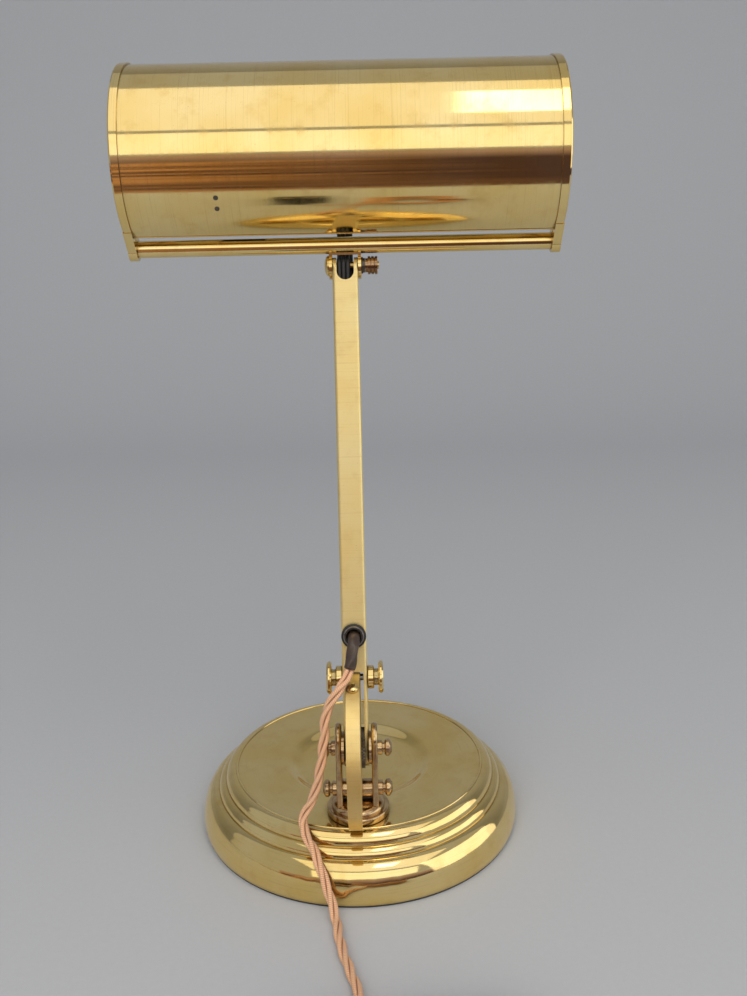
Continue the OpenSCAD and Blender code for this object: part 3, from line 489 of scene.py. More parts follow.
# Four black wires up the arm, round the hinge screw and along the shade to the lampholder
WIRE_D = 2.28 * MM
WIRE_SIDES = 12
WIRE_STEP = 1.2 * MM
WIRE_X = -0.9
WIRE_ROW = (-2.3 * MM, 0.0, 2.3 * MM, 3.8 * MM)
WIRE_LAY = 26 * MM
FIRST_WIRE_ANGLE = 225
BEHIND = 6.7 * MM
BEHIND_FROM = 120 * MM
BEHIND_FULL = 175 * MM
BEHIND_UNTIL = 191 * MM
BEHIND_END = 206 * MM
GATHER_FROM = 212 * MM
GATHER_OVER = 20 * MM
FLEX_END = -78.1
ARM_WIRE = [
    (WIRE_X, 0, BUSH_S + 4.7),
    (WIRE_X, 0, BUSH_S + 30),
    (WIRE_X, -0.4, 150),
    (WIRE_X, -1.2, 200),
    (WIRE_X, -2.4, 232),
    (WIRE_X, -3.2, 248),
    (WIRE_X, -3.4, 254),
    (WIRE_X, -3.4, 259),
]
HEAD_WIRE = [
    (WIRE_X, -2.5, 2.5),
    (WIRE_X, 0.2, 3.4),
    (WIRE_X, 3.6, 4.2),
    (WIRE_X, 7.6, 6),
    (-1, 10.6, 9.6),
    (-1, 12, 16),
    (-8, 13.6, 24),
    (-22, 14.6, 28),
    (-40, 15, 29.5),
    (-60, 15, 30.5),
    (-78, 15, 33),
    (FLEX_END - 10, SHADE_OUT, 40),
    (FLEX_END - 14, SHADE_OUT, 47),
    (FLEX_END - 12, SHADE_OUT, 54),
    (FLEX_END - 6, SHADE_OUT, SHADE_RISE),
    (FLEX_END, SHADE_OUT, SHADE_RISE),
]


# Wires side by side, the last one behind the hinge screw, which gather into a twist after the hinge
def wire_row(name, line):
    ways = headings(line)
    runs = run_lengths(line)
    sides = carried_sides(ways, ACROSS)
    count = len(WIRE_ROW)
    reach = WIRE_D / 2 / math.sin(math.pi / count)
    lines = []
    for number, offset in enumerate(WIRE_ROW):
        places = []
        for centre, way, side, run in zip(line, ways, sides, runs):
            gather = ramp(run, GATHER_FROM, GATHER_FROM + GATHER_OVER)
            twist = 2 * math.pi * max(0.0, run - GATHER_FROM - GATHER_OVER) / WIRE_LAY
            turn = math.radians(FIRST_WIRE_ANGLE - 360 / count * number) + twist
            bundled = (side * math.cos(turn) + way.cross(side) * math.sin(turn)) * reach
            in_row = side * offset
            if number == count - 1:
                back = ramp(run, BEHIND_FROM, BEHIND_FULL) * (1 - ramp(run, BEHIND_UNTIL, BEHIND_END))
                in_row = in_row + Vector((0, BEHIND * back, 0))
            places.append(centre + in_row * (1 - gather) + bundled * gather)
        lines.append(places)
    return tubes_mesh(name, lines, WIRE_D / 2, WIRE_SIDES)


wire_path = metres([from_arm(p) for p in ARM_WIRE] + [from_hinge(p) for p in HEAD_WIRE])
wires = wire_row("lamp_wires", smooth_line(wire_path, WIRE_STEP))
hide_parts("arm_flex", "head_flex")
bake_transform(wires)


# Node group that welds a mesh and shades it smooth, with edges above an angle kept sharp
WELD = 0.01 * MM
SHARP_ANGLE = math.radians(33)


def rounding_group():
    group = bpy.data.node_groups.new("round_shading", "GeometryNodeTree")
    group.interface.new_socket("Geometry", in_out="INPUT", socket_type="NodeSocketGeometry")
    group.interface.new_socket("Geometry", in_out="OUTPUT", socket_type="NodeSocketGeometry")
    start = group.nodes.new("NodeGroupInput")
    weld = group.nodes.new("GeometryNodeMergeByDistance")
    weld.inputs["Distance"].default_value = WELD
    plain = group.nodes.new("GeometryNodeRemoveAttribute")
    plain.inputs["Name"].default_value = "custom_normal"
    angle = group.nodes.new("GeometryNodeInputMeshEdgeAngle")
    soft = group.nodes.new("FunctionNodeCompare")
    soft.operation = "LESS_THAN"
    soft.inputs["B"].default_value = SHARP_ANGLE
    faces = group.nodes.new("GeometryNodeSetShadeSmooth")
    edges = group.nodes.new("GeometryNodeSetShadeSmooth")
    edges.domain = "EDGE"
    end = group.nodes.new("NodeGroupOutput")
    group.links.new(start.outputs["Geometry"], weld.inputs["Geometry"])
    group.links.new(weld.outputs["Geometry"], plain.inputs["Geometry"])
    group.links.new(plain.outputs["Geometry"], faces.inputs["Geometry"])
    group.links.new(faces.outputs["Geometry"], edges.inputs["Geometry"])
    group.links.new(angle.outputs["Unsigned Angle"], soft.inputs["A"])
    group.links.new(soft.outputs["Result"], edges.inputs["Shade Smooth"])
    group.links.new(edges.outputs["Geometry"], end.inputs["Geometry"])
    return group


rounding = rounding_group()

# Node group that marks the outer edges of the bracket's cheeks, above the collar and clear of the pins
CHEEK_ROUND = 1.3 * MM
CHEEK_SEGMENTS = 4
CHEEK_FOOT = 46 * MM
CHEEK_EDGE = 4.5 * MM
CHEEK_ANGLE = math.radians(60)
FLAT_ANGLE = math.radians(0.4)


def cheek_edge_group():
    group = bpy.data.node_groups.new("cheek_edges", "GeometryNodeTree")
    group.interface.new_socket("Geometry", in_out="INPUT", socket_type="NodeSocketGeometry")
    group.interface.new_socket("Geometry", in_out="OUTPUT", socket_type="NodeSocketGeometry")

    def above(value, limit):
        made = group.nodes.new("FunctionNodeCompare")
        made.operation = "GREATER_THAN"
        made.inputs["B"].default_value = limit
        group.links.new(value, made.inputs["A"])
        return made.outputs["Result"]

    def both(kind, a, b):
        made = group.nodes.new("FunctionNodeBooleanMath")
        made.operation = kind
        group.links.new(a, made.inputs[0])
        group.links.new(b, made.inputs[1])
        return made.outputs[0]

    def plain(kind, value, other=0.0):
        made = group.nodes.new("ShaderNodeMath")
        made.operation = kind
        made.inputs[1].default_value = other
        group.links.new(value, made.inputs[0])
        return made.outputs[0]

    place = group.nodes.new("ShaderNodeSeparateXYZ")
    group.links.new(group.nodes.new("GeometryNodeInputPosition").outputs[0], place.inputs[0])
    angle = group.nodes.new("GeometryNodeInputMeshEdgeAngle")
    from_axis = plain("ABSOLUTE", plain("ADD", place.outputs["Y"], BRACKET_OFFSET * MM))
    outer = both("OR", above(from_axis, CHEEK_EDGE), above(place.outputs["Z"], PIVOT_Z * MM + CHEEK_EDGE))
    high = both("AND", outer, above(place.outputs["Z"], CHEEK_FOOT))
    chosen = both("AND", high, above(angle.outputs["Unsigned Angle"], CHEEK_ANGLE))
    start = group.nodes.new("NodeGroupInput")
    store = group.nodes.new("GeometryNodeStoreNamedAttribute")
    store.data_type = "FLOAT"
    store.domain = "EDGE"
    store.inputs["Name"].default_value = "bevel_weight_edge"
    store.inputs["Value"].default_value = 1.0
    end = group.nodes.new("NodeGroupOutput")
    group.links.new(start.outputs["Geometry"], store.inputs["Geometry"])
    group.links.new(chosen, store.inputs["Selection"])
    group.links.new(store.outputs["Geometry"], end.inputs["Geometry"])
    return group


# Smooth shading over the fine rings of a node, and rounded edges where a node group marks them
def round_node(name, edges=None, edge_width=0.0):
    piece = nodes[name]
    shading = piece.modifiers.new("round_shading", "NODES")
    shading.node_group = rounding
    if edges:
        flat = piece.modifiers.new("flat_faces", "DECIMATE")
        flat.decimate_type = "DISSOLVE"
        flat.angle_limit = FLAT_ANGLE
        marked = piece.modifiers.new("marked_edges", "NODES")
        marked.node_group = edges
        soft = piece.modifiers.new("soft_edges", "BEVEL")
        soft.width = edge_width
        soft.segments = CHEEK_SEGMENTS
        soft.limit_method = "WEIGHT"
        soft.use_clamp_overlap = False
    weighted = piece.modifiers.new("weighted_normals", "WEIGHTED_NORMAL")
    weighted.keep_sharp = True


ROUND_NODES = (
    "base_shell",
    "pivot_nuts",
    "stay_nuts",
    "stop_screw",
    "hinge_screw",
    "bush_eyelet",
    "cord_bush",
)
for name in ROUND_NODES:
    round_node(name)
round_node("bracket", cheek_edge_group(), CHEEK_ROUND)


# A material with its shader and helpers that add linked nodes
CREVICE_SAMPLES = 6


class Recipe:
    def __init__(self, name):
        self.material = bpy.data.materials.new(name)
        self.material.use_nodes = True
        self.tree = self.material.node_tree
        self.shader = self.tree.nodes["Principled BSDF"]

    def node(self, kind, **settings):
        made = self.tree.nodes.new(kind)
        for key, value in settings.items():
            setattr(made, key, value)
        return made

    def link(self, output, socket):
        if isinstance(output, bpy.types.NodeSocket):
            self.tree.links.new(output, socket)
        else:
            socket.default_value = output

    def math(self, kind, a, b=0.0, clamp=False):
        made = self.node("ShaderNodeMath", operation=kind, use_clamp=clamp)
        self.link(a, made.inputs[0])
        self.link(b, made.inputs[1])
        return made.outputs[0]

    def spread(self, value, low, high, to_low=0.0, to_high=1.0):
        made = self.node("ShaderNodeMapRange", clamp=True)
        self.link(value, made.inputs["Value"])
        made.inputs["From Min"].default_value = low
        made.inputs["From Max"].default_value = high
        made.inputs["To Min"].default_value = to_low
        made.inputs["To Max"].default_value = to_high
        return made.outputs["Result"]

    def place(self):
        return self.node("ShaderNodeTexCoord").outputs["Object"]

    def scaled(self, coords, scale, turn=(0, 0, 0)):
        made = self.node("ShaderNodeMapping")
        self.link(coords, made.inputs["Vector"])
        made.inputs["Rotation"].default_value = turn
        made.inputs["Scale"].default_value = scale
        return made.outputs["Vector"]

    def noise(self, coords, scale, detail=2.0, roughness=0.5):
        made = self.node("ShaderNodeTexNoise")
        self.link(coords, made.inputs["Vector"])
        made.inputs["Scale"].default_value = scale
        made.inputs["Detail"].default_value = detail
        made.inputs["Roughness"].default_value = roughness
        return made.outputs["Fac"]

    def blend_colour(self, share, a, b):
        made = self.node("ShaderNodeMix", data_type="RGBA")
        self.link(share, made.inputs["Factor"])
        self.link(a, made.inputs["A"])
        self.link(b, made.inputs["B"])
        return made.outputs["Result"]

    def bump(self, height, strength, distance, under=None):
        made = self.node("ShaderNodeBump")
        made.inputs["Strength"].default_value = strength
        made.inputs["Distance"].default_value = distance
        self.link(height, made.inputs["Height"])
        if under:
            self.link(under, made.inputs["Normal"])
        return made.outputs["Normal"]

    # Falls towards 0 in corners narrower than the given distance
    def crevice(self, distance):
        made = self.node("ShaderNodeAmbientOcclusion", samples=CREVICE_SAMPLES)
        made.inputs["Distance"].default_value = distance
        return made.outputs["AO"]

    def run(self, name):
        return self.node("ShaderNodeAttribute", attribute_name=name).outputs["Fac"]

    def finish(self, colour=None, rough=None, normal=None, **constants):
        if colour is not None:
            self.link(colour, self.shader.inputs["Base Color"])
        if rough is not None:
            self.link(rough, self.shader.inputs["Roughness"])
        if normal is not None:
            self.link(normal, self.shader.inputs["Normal"])
        for key, value in constants.items():
            self.shader.inputs[key.replace("_", " ")].default_value = value
        return self.material


# Colours that several finishes share
BRASS = (0.86, 0.62, 0.22, 1)
BRASS_DEEP = (0.70, 0.45, 0.13, 1)
BRASS_PALE = (0.90, 0.70, 0.32, 1)
# Paler, brighter copies of the brass for the arm: painted light standing in for the light its brushed
# face catches
ARM_BRASS_LIT = (0.98, 0.77, 0.33, 1)
ARM_BRASS_PALE_LIT = (0.99, 0.83, 0.42, 1)
TARNISH = (0.38, 0.22, 0.08, 1)
# Near-black brown used for dirt specks and for painted shade in corners
DIRT_AND_SHADE = (0.035, 0.022, 0.012, 1)
# Dark brown of the painted shade in the grooves between the flex's strands
GROOVE_SHADE = (0.20, 0.075, 0.03, 1)

# Fine lines per metre along each axis, for the ways in which the brass is brushed
SHADE_LINES = (2600, 18, 18)
ARM_LINES = (30, 30, 1500)
TURNED_LINES = 1600
TURNED_DRIFT = 3
SCRATCH_LINES = (260, 2200, 2200)


# Coordinates for fine lines that run across the given direction
def brush_coords(recipe, lines):
    coords = recipe.place()
    if lines == "across_shade":
        return recipe.scaled(coords, SHADE_LINES)
    if lines == "across_arm":
        leaning = recipe.scaled(coords, (1, 1, 1), (ARM_LEAN, 0, 0))
        return recipe.scaled(leaning, ARM_LINES)
    parts = recipe.node("ShaderNodeSeparateXYZ")
    recipe.link(coords, parts.inputs[0])
    x2 = recipe.math("MULTIPLY", parts.outputs["X"], parts.outputs["X"])
    y2 = recipe.math("MULTIPLY", parts.outputs["Y"], parts.outputs["Y"])
    reach = recipe.math("SQRT", recipe.math("ADD", x2, y2))
    joined = recipe.node("ShaderNodeCombineXYZ")
    recipe.link(recipe.math("MULTIPLY", reach, TURNED_LINES), joined.inputs["X"])
    recipe.link(recipe.math("MULTIPLY", parts.outputs["Z"], TURNED_LINES), joined.inputs["Y"])
    turn = recipe.math("ARCTAN2", parts.outputs["Y"], parts.outputs["X"])
    recipe.link(recipe.math("MULTIPLY", turn, TURNED_DRIFT), joined.inputs["Z"])
    return joined.outputs["Vector"]


# Polished brass with brushing, smudges and small pits, and painted shade that darkens its corners
def brass_recipe(name, lines, shine, brushing, age, tone=BRASS, pale=BRASS_PALE):
    recipe = Recipe(name)
    coords = recipe.place()
    broad = recipe.noise(coords, scale=28, detail=3)
    patch = recipe.noise(coords, scale=95, detail=4, roughness=0.6)
    brush = recipe.noise(brush_coords(recipe, lines), scale=1, detail=3, roughness=0.6)
    specks = recipe.noise(coords, scale=1300, detail=2)
    colour = recipe.blend_colour(recipe.spread(broad, 0.35, 0.65), tone, pale)
    colour = recipe.blend_colour(recipe.spread(patch, 0.52, 0.78, 0, 0.5 * age), colour, BRASS_DEEP)
    streaks = recipe.spread(brush, 0.56, 0.8, 0, 0.35 * age)
    colour = recipe.blend_colour(streaks, colour, TARNISH)
    pits = recipe.spread(specks, 0.70, 0.78, 0, 0.6 * age)
    colour = recipe.blend_colour(pits, colour, TARNISH)
    # Painted shade: the colour darkens where ambient occlusion finds a corner, and the roughness rises
    # there
    painted_corner_shade = recipe.spread(recipe.crevice(4.5 * MM), 0.25, 0.85, 0.8, 0)
    colour = recipe.blend_colour(painted_corner_shade, colour, DIRT_AND_SHADE)
    smudge = recipe.spread(patch, 0.45, 0.75, 0, 0.07 * age)
    wear = recipe.spread(brush, 0.3, 0.75, 0, 0.05 * brushing)
    rough = recipe.math("ADD", recipe.math("ADD", shine, smudge), wear)
    rough = recipe.math("ADD", rough, recipe.math("MULTIPLY", painted_corner_shade, 0.35))
    normal = recipe.bump(brush, strength=0.09 * brushing, distance=0.05 * MM)
    waves = recipe.noise(coords, scale=40, detail=1)
    normal = recipe.bump(waves, strength=0.09, distance=0.4 * MM, under=normal)
    hollows = recipe.math("MULTIPLY", pits, -1)
    normal = recipe.bump(hollows, strength=0.2, distance=0.05 * MM, under=normal)
    return recipe.finish(colour, rough, normal, Metallic=1.0)


# Darker, handled brass of the turned nuts, the bracket and the thumb nut, with dirt specks and painted
# shade in its corners
def dark_brass_recipe(name, light, dark):
    recipe = Recipe(name)
    coords = recipe.place()
    patch = recipe.noise(coords, scale=160, detail=4, roughness=0.6)
    specks = recipe.noise(coords, scale=900, detail=2)
    colour = recipe.blend_colour(recipe.spread(patch, 0.38, 0.66), light, dark)
    colour = recipe.blend_colour(recipe.spread(specks, 0.62, 0.78, 0, 0.45), colour, DIRT_AND_SHADE)
    # Painted shade: darker where ambient occlusion finds a corner
    painted_corner_shade = recipe.spread(recipe.crevice(3 * MM), 0.1, 0.6, 0.55, 0)
    colour = recipe.blend_colour(painted_corner_shade, colour, DIRT_AND_SHADE)
    rough = recipe.spread(patch, 0.3, 0.7, 0.12, 0.24)
    rough = recipe.math("ADD", rough, recipe.math("MULTIPLY", painted_corner_shade, 0.3))
    normal = recipe.bump(specks, strength=0.25, distance=0.06 * MM)
    return recipe.finish(colour, rough, normal, Metallic=1.0)


# Plain metal with fine scratches and painted shade in its corners
def metal_recipe(name, light, dark, rough_low, rough_high):
    recipe = Recipe(name)
    coords = recipe.place()
    patch = recipe.noise(coords, scale=210, detail=4, roughness=0.6)
    scratch = recipe.noise(recipe.scaled(coords, SCRATCH_LINES), scale=1, detail=3)
    colour = recipe.blend_colour(recipe.spread(patch, 0.35, 0.68), light, dark)
    # Painted shade: darker where ambient occlusion finds a corner
    painted_corner_shade = recipe.spread(recipe.crevice(3 * MM), 0.2, 0.9, 0.5, 0)
    colour = recipe.blend_colour(painted_corner_shade, colour, DIRT_AND_SHADE)
    rough = recipe.spread(scratch, 0.3, 0.7, rough_low, rough_high)
    normal = recipe.bump(scratch, strength=0.15, distance=0.04 * MM)
    return recipe.finish(colour, rough, normal, Metallic=1.0)


# Moulded or pressed stuff with a fine skin
def skin_recipe(name, light, dark, rough_low, rough_high, grain, bump, **constants):
    recipe = Recipe(name)
    coords = recipe.place()
    patch = recipe.noise(coords, scale=120, detail=4, roughness=0.6)
    fine = recipe.noise(coords, scale=grain, detail=3, roughness=0.6)
    colour = recipe.blend_colour(recipe.spread(patch, 0.35, 0.68), light, dark)
    rough = recipe.spread(fine, 0.3, 0.7, rough_low, rough_high)
    normal = recipe.bump(fine, strength=bump, distance=0.08 * MM)
    return recipe.finish(colour, rough, normal, **constants)


# Cloth braid over a core: two sets of ribs that cross, one of them stronger, with painted shade in the
# ribs' hollows and in the grooves between strands
RIGHT_RIBS = 0.75
LEFT_RIBS = 0.25


def braid_recipe(name, light, dark, pitch, ends, sheen):
    recipe = Recipe(name)
    run = recipe.run("run")
    turn = recipe.math("ARCTAN2", recipe.run("weave_sin"), recipe.run("weave_cos"))
    steps = recipe.math("MULTIPLY", run, 2 * math.pi / pitch)
    swing = recipe.math("MULTIPLY", turn, ends)
    right = recipe.math("SINE", recipe.math("ADD", steps, swing))
    left = recipe.math("SINE", recipe.math("SUBTRACT", steps, swing))
    right = recipe.math("MULTIPLY", right, RIGHT_RIBS)
    left = recipe.math("MULTIPLY", left, LEFT_RIBS)
    weave = recipe.math("ADD", right, left)
    height = recipe.spread(weave, -0.7, 0.9)
    coords = recipe.place()
    fuzz = recipe.noise(coords, scale=2600, detail=2)
    patch = recipe.noise(coords, scale=60, detail=3)
    # Painted shade: the ribs' hollows take the dark colour and their crests the light one
    rib_lit_share = recipe.math("MULTIPLY", height, recipe.spread(fuzz, 0.25, 0.75, 0.7, 1.1))
    colour = recipe.blend_colour(rib_lit_share, dark, light)
    worn = (0.5 * light[0] + 0.12, 0.5 * light[1] + 0.09, 0.5 * light[2] + 0.07, 1)
    colour = recipe.blend_colour(recipe.spread(patch, 0.5, 0.75, 0, 0.5), colour, worn)
    # Painted shade: darker where ambient occlusion finds the grooves between strands
    painted_groove_shade = recipe.spread(recipe.crevice(1.6 * MM), 0.25, 0.7, 0.7, 0)
    colour = recipe.blend_colour(painted_groove_shade, colour, GROOVE_SHADE)
    rough = recipe.spread(fuzz, 0.3, 0.7, 0.55, 0.8)
    normal = recipe.bump(height, strength=0.5, distance=0.16 * MM)
    normal = recipe.bump(fuzz, strength=0.25, distance=0.06 * MM, under=normal)
    return recipe.finish(colour, rough, normal, Sheen_Weight=sheen, Sheen_Roughness=0.4)


# Finishes, with the range of each one's roughness
steel = metal_recipe(
    "steel",
    light=(0.56, 0.55, 0.53, 1),
    dark=(0.40, 0.39, 0.37, 1),
    rough_low=0.22,
    rough_high=0.40,
)
disc_steel = metal_recipe(
    "disc_steel",
    light=(0.20, 0.18, 0.15, 1),
    dark=(0.09, 0.08, 0.07, 1),
    rough_low=0.30,
    rough_high=0.50,
)
eyelet = metal_recipe(
    "eyelet",
    light=(0.48, 0.46, 0.43, 1),
    dark=(0.30, 0.28, 0.26, 1),
    rough_low=0.25,
    rough_high=0.40,
)
filament = metal_recipe(
    "filament",
    light=(0.45, 0.45, 0.45, 1),
    dark=(0.3, 0.3, 0.3, 1),
    rough_low=0.25,
    rough_high=0.4,
)
shade_brass = brass_recipe("shade_brass", "across_shade", shine=0.045, brushing=1.0, age=1.0)
arm_brass = brass_recipe(
    "arm_brass",
    "across_arm",
    shine=0.46,
    brushing=2.2,
    age=0.5,
    tone=ARM_BRASS_LIT,
    pale=ARM_BRASS_PALE_LIT,
)
quadrant_brass = brass_recipe("quadrant_brass", "across_arm", shine=0.42, brushing=2.2, age=0.7)
base_brass = brass_recipe("base_brass", "turned", shine=0.05, brushing=0.7, age=0.8)
holder_brass = brass_recipe("holder_brass", "across_shade", shine=0.22, brushing=0.8, age=1.0)
dark_brass = dark_brass_recipe("dark_brass", light=(0.64, 0.46, 0.24, 1), dark=(0.42, 0.27, 0.15, 1))
brown_brass = dark_brass_recipe("brown_brass", light=(0.42, 0.26, 0.14, 1), dark=(0.22, 0.13, 0.07, 1))
iron = skin_recipe(
    "iron",
    light=(0.06, 0.06, 0.062, 1),
    dark=(0.10, 0.095, 0.09, 1),
    rough_low=0.5,
    rough_high=0.8,
    grain=500,
    bump=0.8,
    Metallic=0.8,
)
felt = skin_recipe(
    "felt",
    light=(0.018, 0.018, 0.019, 1),
    dark=(0.03, 0.03, 0.031, 1),
    rough_low=0.85,
    rough_high=1.0,
    grain=2400,
    bump=0.8,
    Sheen_Weight=0.3,
)
rubber = skin_recipe(
    "black_rubber",
    light=(0.012, 0.012, 0.012, 1),
    dark=(0.02, 0.019, 0.018, 1),
    rough_low=0.35,
    rough_high=0.55,
    grain=1500,
    bump=0.2,
)
sleeve_rubber = skin_recipe(
    "sleeve",
    light=(0.085, 0.050, 0.034, 1),
    dark=(0.035, 0.022, 0.016, 1),
    rough_low=0.26,
    rough_high=0.45,
    grain=800,
    bump=0.35,
)
bakelite = skin_recipe(
    "bakelite",
    light=(0.030, 0.016, 0.011, 1),
    dark=(0.055, 0.024, 0.014, 1),
    rough_low=0.14,
    rough_high=0.24,
    grain=300,
    bump=0.08,
)
ivory = skin_recipe(
    "ivory",
    light=(0.74, 0.66, 0.48, 1),
    dark=(0.66, 0.57, 0.39, 1),
    rough_low=0.22,
    rough_high=0.34,
    grain=400,
    bump=0.08,
)
wire_skin = skin_recipe(
    "black_flex",
    light=(0.013, 0.013, 0.014, 1),
    dark=(0.022, 0.022, 0.022, 1),
    rough_low=0.4,
    rough_high=0.6,
    grain=1200,
    bump=0.2,
)
plug_skin = skin_recipe(
    "plug_black",
    light=(0.013, 0.013, 0.014, 1),
    dark=(0.02, 0.02, 0.02, 1),
    rough_low=0.38,
    rough_high=0.52,
    grain=1800,
    bump=0.3,
)
tie_cloth = skin_recipe(
    "tie",
    light=(0.016, 0.016, 0.018, 1),
    dark=(0.03, 0.03, 0.032, 1),
    rough_low=0.8,
    rough_high=0.95,
    grain=1700,
    bump=0.9,
)
copper_braid = braid_recipe(
    "copper_flex",
    light=(0.97, 0.62, 0.37, 1),
    dark=(0.64, 0.31, 0.165, 1),
    pitch=1.0 * MM,
    ends=2,
    sheen=0.2,
)


# Frosted glass of the bulb
FROST_LIGHT = (0.95, 0.94, 0.91, 1)
FROST_DARK = (0.90, 0.89, 0.85, 1)


def glass_recipe():
    recipe = Recipe("bulb_glass")
    coords = recipe.place()
    frost = recipe.noise(coords, scale=900, detail=3)
    patch = recipe.noise(coords, scale=70, detail=2)
    colour = recipe.blend_colour(recipe.spread(patch, 0.3, 0.7), FROST_LIGHT, FROST_DARK)
    rough = recipe.spread(frost, 0.3, 0.7, 0.30, 0.45)
    normal = recipe.bump(frost, strength=0.15, distance=0.03 * MM)
    return recipe.finish(colour, rough, normal, Transmission_Weight=0.75, IOR=1.45)


bulb_frost = glass_recipe()

# Nodes of the CAD that wear each finish
FINISHES = (
    (felt, ("base_felt",)),
    (iron, ("base_weight",)),
    (base_brass, ("base_shell", "stop_screw", "clamp_knob_left", "clamp_knob_right")),
    (arm_brass, ("arm_tube",)),
    (quadrant_brass, ("quadrant",)),
    (shade_brass, ("shade_shell", "end_cap_left", "end_cap_right", "rail", "yoke", "hinge_screw")),
    (dark_brass, ("bracket", "pivot_nuts", "pivot_washers", "stay_nuts", "stay_spacers")),
    (brown_brass, ("thumb_nut",)),
    (holder_brass, ("holder_bracket", "holder_nipple", "holder_skirt", "bulb_cap", "plug_pins")),
    (steel, ("base_bottom", "base_screws", "bracket_stud", "bracket_nut", "bracket_washer")),
    (steel, ("pivot_pin", "stay_pin", "clamp_axle")),
    (disc_steel, ("friction_discs", "hinge_washers", "holder_rivets")),
    (eyelet, ("bush_eyelet",)),
    (rubber, ("cord_bush", "plug_relief")),
    (bakelite, ("holder_cap",)),
    (ivory, ("switch_bar",)),
    (bulb_frost, ("bulb_glass",)),
    (filament, ("bulb_filament",)),
    (plug_skin, ("plug_cover", "plug_base")),
)


def paint(piece, material):
    piece.data.materials.clear()
    piece.data.materials.append(material)


for material, names in FINISHES:
    for name in names:
        paint(nodes[name], material)
paint(cord, copper_braid)
paint(tie, tie_cloth)
paint(sleeve, sleeve_rubber)
paint(wires, wire_skin)


# Pale floor that curves up into a backdrop
FLOOR_HALF = 12.0
FLOOR_FRONT = -2.6
WALL_Y = 1.6
WALL_TOP = 3.0
SWEEP_R = 0.7
SWEEP_STEPS = 12
FLOOR_LIGHT = (0.53, 0.54, 0.56, 1)
FLOOR_DARK = (0.50, 0.51, 0.53, 1)
FLOOR_ROUGH = 0.9


def make_floor():
    outline = [(FLOOR_FRONT, 0.0)]
    for k in range(SWEEP_STEPS + 1):
        turn = math.radians(90 / SWEEP_STEPS * k)
        y = WALL_Y - SWEEP_R + SWEEP_R * math.sin(turn)
        outline.append((y, SWEEP_R - SWEEP_R * math.cos(turn)))
    outline.append((WALL_Y, WALL_TOP))
    points = []
    for y, z in outline:
        points.append((-FLOOR_HALF, y, z))
        points.append((FLOOR_HALF, y, z))
    faces = [(2 * i, 2 * i + 1, 2 * i + 3, 2 * i + 2) for i in range(len(outline) - 1)]
    floor = add_mesh("floor", points, faces)
    recipe = Recipe("floor")
    grain = recipe.noise(recipe.place(), scale=300, detail=2)
    colour = recipe.blend_colour(grain, FLOOR_DARK, FLOOR_LIGHT)
    paint(floor, recipe.finish(colour, FLOOR_ROUGH))


# Dark card that only the polished metal sees, like the room before the table's edge
CARD_HALF = 3.0
CARD_NEAR = -0.42
CARD_FAR = -2.2
CARD_LOW = 0.004
CARD_TOP = 0.46
CARD_STREAKS = (0.8, 5, 5)
CARD_DARK = (0.075, 0.045, 0.05, 1)
CARD_WARM = (0.62, 0.33, 0.17, 1)
CARD_HIGH = (0.38, 0.27, 0.27, 1)


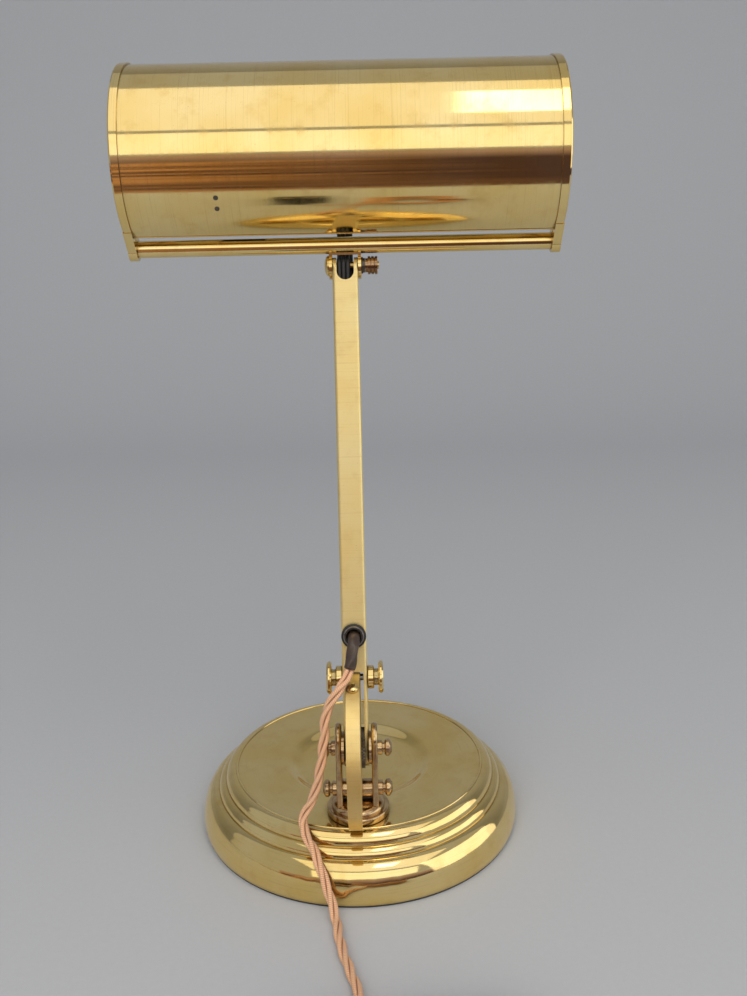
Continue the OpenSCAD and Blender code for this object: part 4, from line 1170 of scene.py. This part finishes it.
def make_card():
    points = []
    for y, z in ((CARD_NEAR, CARD_LOW), (CARD_FAR, CARD_LOW), (CARD_FAR, CARD_TOP)):
        points.append((-CARD_HALF, y, z))
        points.append((CARD_HALF, y, z))
    card = add_mesh("dark_card", points, [(0, 1, 3, 2), (2, 3, 5, 4)], smooth=False)
    recipe = Recipe("dark_card")
    coords = recipe.scaled(recipe.place(), CARD_STREAKS)
    streak = recipe.noise(coords, scale=1.6, detail=3)
    parts = recipe.node("ShaderNodeSeparateXYZ")
    recipe.link(recipe.place(), parts.inputs[0])
    leftward = recipe.spread(parts.outputs["X"], 0.25, -0.5)
    warm = recipe.math("MULTIPLY", recipe.spread(streak, 0.42, 0.62), leftward)
    colour = recipe.blend_colour(warm, CARD_DARK, CARD_WARM)
    rise = recipe.spread(parts.outputs["Z"], 0.06, 0.36)
    colour = recipe.blend_colour(rise, colour, CARD_HIGH)
    glow = recipe.node("ShaderNodeEmission")
    recipe.link(colour, glow.inputs["Color"])
    recipe.link(glow.outputs[0], recipe.tree.nodes["Material Output"].inputs["Surface"])
    paint(card, recipe.material)
    card.visible_camera = False
    card.visible_diffuse = False
    card.visible_shadow = False
    card.visible_transmission = False


make_floor()
make_card()


# Area light aimed at a point, with the given brightness of its face
def add_light(name, place, target, width, height, glow, colour):
    data = bpy.data.lights.new(name, "AREA")
    data.shape = "RECTANGLE"
    data.size = width
    data.size_y = height
    data.energy = glow * math.pi * width * height
    data.color = colour
    light = bpy.data.objects.new(name, data)
    scene.collection.objects.link(light)
    light.location = place
    light.rotation_euler = (Vector(target) - Vector(place)).to_track_quat("-Z", "Y").to_euler()
    light.visible_camera = False
    return light


ARM_MIDDLE = (0, -0.03, 0.22)
WARM = (1.0, 0.95, 0.86)
WHITE = (1.0, 0.97, 0.92)
WORLD_GREY = (0.40, 0.41, 0.43, 1)

# Two soft panels, whose mirror images are the bright bands of the brass
add_light(
    "softbox",
    place=(0.20, -0.66, 1.62),
    target=(0.20, 0, 0.385),
    width=2.3,
    height=1.6,
    glow=0.70,
    colour=WARM,
)
add_light(
    "front_panel",
    place=(0.15, -1.925, 0.944),
    target=(0.15, -0.025, 0.309),
    width=2.8,
    height=0.88,
    glow=0.9,
    colour=WARM,
)

# Lamp whose mirror image is the bright patch on the shade's right
add_light(
    "key",
    place=(0.30, -0.56, 1.40),
    target=(0.30, 0, 0.385),
    width=0.28,
    height=0.60,
    glow=2.4,
    colour=WHITE,
)

# Panel at the right for the metal only, and a fill that the metal does not mirror
side_panel = add_light(
    "side_panel",
    place=(1.1, -0.30, 0.45),
    target=ARM_MIDDLE,
    width=1.3,
    height=0.9,
    glow=1.05,
    colour=WHITE,
)
side_panel.visible_diffuse = False
fill = add_light(
    "fill",
    place=(-0.3, -1.7, 0.8),
    target=ARM_MIDDLE,
    width=1.6,
    height=1.0,
    glow=2.5,
    colour=WHITE,
)
fill.visible_glossy = False

world = bpy.data.worlds.new("world")
world.use_nodes = True
backing = world.node_tree.nodes["Background"]
backing.inputs["Color"].default_value = WORLD_GREY
backing.inputs["Strength"].default_value = 1.0
scene.world = world
